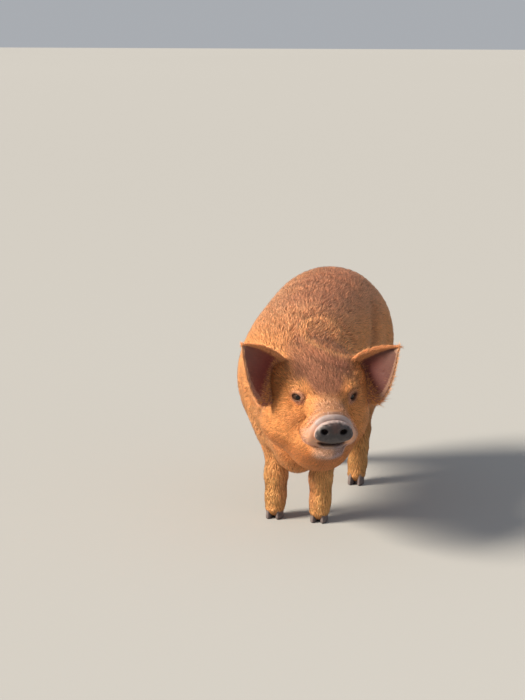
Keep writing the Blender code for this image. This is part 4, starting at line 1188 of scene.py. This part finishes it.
def raised(p, q):
    """Extra lift on the crown and nape, where the coat fans up."""
    f, u, r = q[:, 1], q[:, 2], np.abs(q[:, 0])
    return 0.0016 * smooth(0.015, 0.035, u) * smooth(0.010, -0.030, f) * smooth(0.080, 0.045, r)


grow("coat_trunk", W_TRUNK, COUNTS["trunk"], 101, None, None, None, "ginger_coat", 4, trunk_unwrap, lambda p, q: p[:, 1], raised, face=trunk_coat)
grow("coat_head", W_HEAD, COUNTS["head"], 102, None, None, None, "ginger_face", 3, head_unwrap, lambda p, q: q[:, 1], raised, spread=0.14, tip_pale=0.30, face=face_coat)
grow("coat_legs", W_LEGS, COUNTS["legs"], 103, None, None, None, "cream_leg", 1, legs_unwrap, lambda p, q: p[:, 1], face=leg_coat, tip_pale=0.42)


def grow_tail():
    count = COUNTS["tail"]
    rng = np.random.default_rng(7)
    p, n, col, k = scatter(W_TAIL, count, 104)
    line = np.array(tail_points(40))
    d = np.linalg.norm(p[:, None] - line[None], axis=2)
    near = d.argmin(1)
    along = unit(line[np.minimum(near + 1, 39)] - line[np.maximum(near - 1, 0)])
    share = near / 39.0
    t = laid(along + rng.normal(size=p.shape) * 0.10, n)
    ln = (0.014 + 0.010 * share) * np.exp(rng.normal(size=count) * 0.2)
    wide = unit(np.cross(t, n))
    mid = p + t * (0.5 * ln)[:, None] + n * 0.0018
    tip = p + unit(t * 0.5 + along)* ln[:, None] + n * 0.0026
    tip[:, 2] = np.maximum(tip[:, 2], 0.302)
    tone = np.exp(rng.normal(size=count) * 0.16)[:, None]
    c = np.clip(marking(p, to_head(p)) * HAIR_GAIN, 0, 0.9) * tone
    uv = fit_uv(np.stack([0.5 + np.arctan2((p - line[near])[:, 0], (p - line[near])[:, 1]) / (2 * np.pi), share], 1))
    piece(write_tufts("coat_tail", p, n, mid, tip, wide, np.full(count, 0.0011), c * 0.55, c * 0.95, np.clip(c * 1.25, 0, 0.95), uv, "ginger_coat"), HAIR_MAT)


def grow_ears():
    """Short hair over the back of the ears, sparse in the cup, and a fringe round the rim."""
    count = COUNTS["ears"]
    rng = np.random.default_rng(8)
    p, n, col, k = scatter(W_EARS, count, 105)
    flow = np.zeros_like(p)
    uv = np.zeros((count, 2))
    edge = np.zeros(count)
    low = np.zeros(count)
    base = np.zeros(count)
    cup = SKIN_CUP[SKIN_F[k]].mean(1) > 0.5
    for i in range(count):
        best = None
        for j, (tree, v, f, t) in enumerate(EAR_TREES):
            at, fn, face, dist = tree.find_nearest(Vector(p[i]), 0.02)
            if face is not None and (best is None or dist < best[0]):
                best = (dist, j, face)
        if best is None:
            flow[i] = (0, 1, 0)
            continue
        _, j, face = best
        v, f = EAR_TREES[j][1], EAR_TREES[j][2]
        si, ti = divmod(face, EAR_GRID[1])
        quad = v[f[face]]
        along = (quad[3] - quad[0]) + (quad[2] - quad[1])
        across = (quad[1] - quad[0]) + (quad[2] - quad[3])
        s = (si + 0.5) / EAR_GRID[0]
        a = along / np.linalg.norm(along)
        c = across / np.linalg.norm(across)
        edge[i] = abs(s - 0.5) * 2
        low[i] = smooth(0.82, 0.94, np.array(s))
        base[i] = smooth(0.36, 0.18, EAR_TREES[j][3][f[face]].mean() + rng.normal() * 0.04)
        flow[i] = a + c * (s - 0.5) * 1.2
        uv[i] = ((j + 0.5 * cup[i] + 0.02 + 0.46 * s) / 2.0, (ti + rng.random()) / EAR_GRID[1])
    t = laid(flow + rng.normal(size=p.shape) * 0.12, n)
    ln = (0.0125 + 0.003 * smooth(0.7, 1.0, edge)) * np.exp(rng.normal(size=count) * 0.2) * np.where(cup, 0.75 + 0.5 * base, 1.0)
    wide = unit(np.cross(t, n))
    mid = p + t * (0.5 * ln)[:, None] + n * 0.0009
    tip = p + t * ln[:, None] + n * (0.0012 + 0.0006 * rng.random(count))[:, None]
    tone = np.exp(rng.normal(size=count) * 0.15)[:, None]
    c = np.where(cup[:, None], col * 1.5 + np.array((0.10, 0.05, 0.03)), np.clip(col * HAIR_GAIN, 0, 0.92)) * tone
    c = c + (np.array((0.80, 0.50, 0.28)) * tone - c) * (0.40 * low)[:, None]
    streak = np.where((bands(p, 0.007, 91) > 0.1)[:, None], MAUVE * HAIR_GAIN, GINGER * HAIR_GAIN)
    c = np.where(cup[:, None], c + (streak * tone - c) * base[:, None], c)
    piece(write_tufts("coat_ears", p, n, mid, tip, wide, np.where(cup, 0.00045 + 0.00040 * base, 0.00085), c * 0.75, c, np.clip(c * 1.2 + 0.01, 0, 0.95), np.clip(uv, 0.004, 0.996), "ear_hide"), HAIR_MAT)


grow_tail()
grow_ears()


# ---------------------------------------------------------------- eyes
def ball_mesh(segments, rings):
    """Unit ball whose pole is +Y: vertices and triangles."""
    a = np.linspace(0, np.pi, rings + 1)[1:-1]
    b = np.linspace(0, 2 * np.pi, segments, endpoint=False)
    A, B = np.meshgrid(a, b, indexing="ij")
    v = np.stack([np.sin(A) * np.cos(B), np.cos(A), np.sin(A) * np.sin(B)], -1).reshape(-1, 3)
    v = np.concatenate([v, [(0, 1, 0), (0, -1, 0)]])
    n = len(v)
    f = []
    for i in range(rings - 2):
        for j in range(segments):
            k = (j + 1) % segments
            x, y, z, w = i * segments + j, i * segments + k, (i + 1) * segments + k, (i + 1) * segments + j
            f += [(x, y, z), (x, z, w)]
    for j in range(segments):
        k = (j + 1) % segments
        f += [(n - 2, k, j), (n - 1, (rings - 2) * segments + j, (rings - 2) * segments + k)]
    return v, np.array(f)


def build_eye(side):
    v, f = ball_mesh(56, 44)
    gaze = np.array((-0.26, 0.96, -0.03))
    gaze /= np.linalg.norm(gaze)
    ang = np.degrees(np.arccos(np.clip(v @ gaze, -1, 1)))
    radius = EYE_R - 0.0007 + 0.0007 * smooth(40, 24, ang)
    around = np.arctan2(v[:, 2] + 0.03, v[:, 0] + 0.26 * v[:, 1])
    iris = np.array((0.060, 0.026, 0.014)) * (1 + 0.35 * np.sin(around * 19 + 1.3 * np.sin(around * 7)))[:, None]
    c = np.repeat(np.array((0.120, 0.072, 0.054))[None], len(v), 0)
    c = mix(c, (0.090, 0.045, 0.032), smooth(48, 38, ang))
    c = c + (iris * 0.8 - c) * smooth(37, 33, ang)[:, None]
    c = mix(c, (0.010, 0.006, 0.005), smooth(35, 31, ang) * smooth(26, 31, ang) * 0.8)
    c = mix(c, (0.003, 0.002, 0.002), smooth(21, 18, ang))
    ax = eye_axes(side)
    at = np.array(eye_at(side))
    w = from_head((v * radius[:, None]) @ ax + at)
    vol = np.einsum("ij,ij->i", w[f[:, 0]] - w.mean(0), np.cross(w[f[:, 1]] - w.mean(0), w[f[:, 2]] - w.mean(0))).sum()
    if vol < 0:
        f = f[:, ::-1]
    word = "left" if side > 0 else "right"
    obj = piece(add_object("eyeball_" + word, w + SHIFT, f), EYE_MAT)
    write_colour(obj.data, c)
    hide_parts("eye_" + word)


def build_lashes():
    """Thin pale lashes along both upper lids."""
    parts = []
    for side in (1, -1):
        ax = eye_axes(side)
        at = np.array(eye_at(side))
        a = np.linspace(0.10, 0.90, 34) * np.pi
        rim = np.stack([np.cos(a) * EYE_SLIT[0] * 0.98, np.zeros(34), np.sin(a) * EYE_SLIT[1] * 0.98], 1)
        rim = np.stack([rim[:, 0] * SLIT_TURN[0] + rim[:, 2] * SLIT_TURN[1], rim[:, 1], rim[:, 2] * SLIT_TURN[0] - rim[:, 0] * SLIT_TURN[1]], 1)
        rim[:, 1] = np.sqrt(np.maximum((EYE_R + 0.0016) ** 2 - rim[:, 0] ** 2 - rim[:, 2] ** 2, 1e-8))
        out = np.stack([np.cos(a) * 0.55, 0.85 * np.ones(34), 0.25 + 0.35 * np.sin(a)], 1)
        root = from_head(rim @ ax + at)
        d = unit((out @ ax) @ HEAD_ROT)
        parts.append((root, d))
    root = np.concatenate([x[0] for x in parts])
    d = np.concatenate([x[1] for x in parts])
    m = len(root)
    rng = np.random.default_rng(12)
    d = unit(d + rng.normal(size=d.shape) * 0.10)
    n = unit(np.cross(d, rng.normal(size=d.shape)))
    wide = unit(np.cross(d, n))
    ln = 0.0052 * np.exp(rng.normal(size=m) * 0.15)
    mid = root + d * (0.5 * ln)[:, None] - np.array((0, 0, 0.0006))
    tip = root + d * ln[:, None]
    c = np.repeat(np.array((0.26, 0.13, 0.07))[None], m, 0) * np.exp(rng.normal(size=(m, 1)) * 0.2)
    uv = np.stack([np.linspace(0.02, 0.98, m), np.full(m, 0.5)], 1)
    piece(write_tufts("lashes", root, n, mid, tip, wide, np.full(m, 0.00045), c * 0.7, c, c * 1.3, uv, "ginger_face"), HAIR_MAT)


for _s in (1, -1):
    build_eye(_s)
build_lashes()


# ---------------------------------------------------------------- hooves
def refine_horn(node, levels, seed):
    """A CAD claw subdivided and rounded a little, with growth rings across it."""
    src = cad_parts[node]
    obj = bpy.data.objects.new(node.replace("claw", "hoof"), src.data.copy())
    obj.matrix_world = src.matrix_world.copy()
    bpy.context.scene.collection.objects.link(obj)
    obj.data.materials.clear()
    w = obj.modifiers.new("weld", "WELD")
    w.merge_threshold = 0.00005
    m = obj.modifiers.new("round", "SUBSURF")
    m.levels = m.render_levels = levels
    keep_modifiers(obj)
    v = read(obj.data)
    v = v @ np.array(obj.matrix_world.to_3x3()).T + np.array(obj.matrix_world.translation)
    obj.matrix_world = Matrix.Identity(4)
    lo, hi = v.min(0), v.max(0)
    old_lo, old_hi = (np.array(x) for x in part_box(node))
    v = old_lo + (v - lo) * (old_hi - old_lo) / (hi - lo)
    h = (v[:, 2] - v[:, 2].min()) / np.ptp(v[:, 2])
    centre = v.mean(0)
    ring = 1 + 0.012 * np.sin(h * 34 + 2 * bands(v, 0.02, seed)) * smooth(0.02, 0.15, h) * smooth(0.98, 0.85, h)
    v[:, :2] = centre[:2] + (v[:, :2] - centre[:2]) * ring[:, None]
    obj.data.vertices.foreach_set("co", v.astype(np.float32).ravel())
    obj.data.polygons.foreach_set("use_smooth", np.ones(len(obj.data.polygons), bool))
    obj.data.update()
    c = np.repeat(np.array((0.125, 0.095, 0.092))[None], len(v), 0)
    c = mix(c, (0.300, 0.220, 0.185), 0.7 * smooth(0.55, 1.0, h))
    c = mix(c, (0.060, 0.045, 0.045), 0.6 * smooth(0.25, 0.0, h))
    c *= (1 + 0.22 * bands(v, 0.012, seed + 1))[:, None]
    piece(obj, HORN_MAT)
    write_colour(obj.data, np.clip(c, 0, 1))
    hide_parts(node)


for _i, _foot in enumerate(FEET):
    for _word in ("left", "right"):
        refine_horn(f"{_foot}_claw_{_word}", 2, 60 + _i)
        refine_horn(f"{_foot}_dewclaw_{_word}", 2, 70 + _i)


# ---------------------------------------------------------------- floor, light, camera
def studio():
    scene = bpy.context.scene
    floor = add_object("floor", np.array([(-60, -60, -0.0005), (60, -60, -0.0005), (60, 60, -0.0005), (-60, 60, -0.0005)]), np.array([(0, 1, 2, 3)]))
    m = bpy.data.materials.new("pale_floor")
    m.use_nodes = True
    nt = m.node_tree
    s = nt.nodes["Principled BSDF"]
    s.inputs["Roughness"].default_value = 0.9
    s.inputs["Specular IOR Level"].default_value = 0.1
    noise = nt.nodes.new("ShaderNodeTexNoise")
    noise.inputs["Scale"].default_value = 3.0
    ramp = nt.nodes.new("ShaderNodeMapRange")
    ramp.inputs["To Min"].default_value = 0.37
    ramp.inputs["To Max"].default_value = 0.40
    nt.links.new(noise.outputs["Fac"], ramp.inputs["Value"])
    nt.links.new(ramp.outputs["Result"], s.inputs["Base Color"])
    floor.data.materials.append(m)

    world = bpy.data.worlds.new("pale_room")
    scene.world = world
    world.use_nodes = True
    b = world.node_tree.nodes["Background"]
    b.inputs["Color"].default_value = (0.86, 0.90, 0.96, 1.0)
    b.inputs["Strength"].default_value = 0.46

    def area(name, at, aim, size, power, colour):
        light = bpy.data.lights.new(name, "AREA")
        light.shape = "DISK"
        light.size = size
        light.energy = power
        light.color = colour
        o = bpy.data.objects.new(name, light)
        scene.collection.objects.link(o)
        at, aim = Vector(at), Vector(aim)
        o.matrix_world = Matrix.Translation(at) @ (aim - at).to_track_quat("-Z", "Y").to_matrix().to_4x4()
        return o

    sun = bpy.data.lights.new("key", "SUN")
    sun.energy = 7.6
    sun.angle = 24 * DEG
    sun.color = (1.0, 0.90, 0.74)
    o = bpy.data.objects.new("key", sun)
    scene.collection.objects.link(o)
    o.matrix_world = Vector((0.95, 0.46, -0.72)).to_track_quat("-Z", "Y").to_matrix().to_4x4()
    area("fill", (2.8, -1.9, 1.5), (0.0, 0.0, 0.30), 2.4, 8.0, (0.93, 0.96, 1.0))

    # the photograph's camera
    down, turn = 11.96 * DEG, 14.0 * DEG
    ahead = np.array((-math.sin(turn), math.cos(turn), 0.0))
    right = np.array((math.cos(turn), math.sin(turn), 0.0))
    z = np.array((0.0, 0.0, 1.0))
    at = -3.540 * ahead - 0.086 * right + 1.157 * z + SHIFT
    look = ahead * math.cos(down) - z * math.sin(down)
    high = ahead * math.sin(down) + z * math.cos(down)
    cam = bpy.data.cameras.new("camera")
    cam.sensor_width = 36.0
    cam.lens = 80.126
    cam.clip_end = 200.0
    o = bpy.data.objects.new("camera", cam)
    scene.collection.objects.link(o)
    m = np.eye(4)
    m[:3, 0], m[:3, 1], m[:3, 2], m[:3, 3] = right, high, -look, at
    o.matrix_world = Matrix(m.tolist())
    scene.camera = o
    scene.view_settings.view_transform = "Standard"
    scene.view_settings.look = "None"


studio()
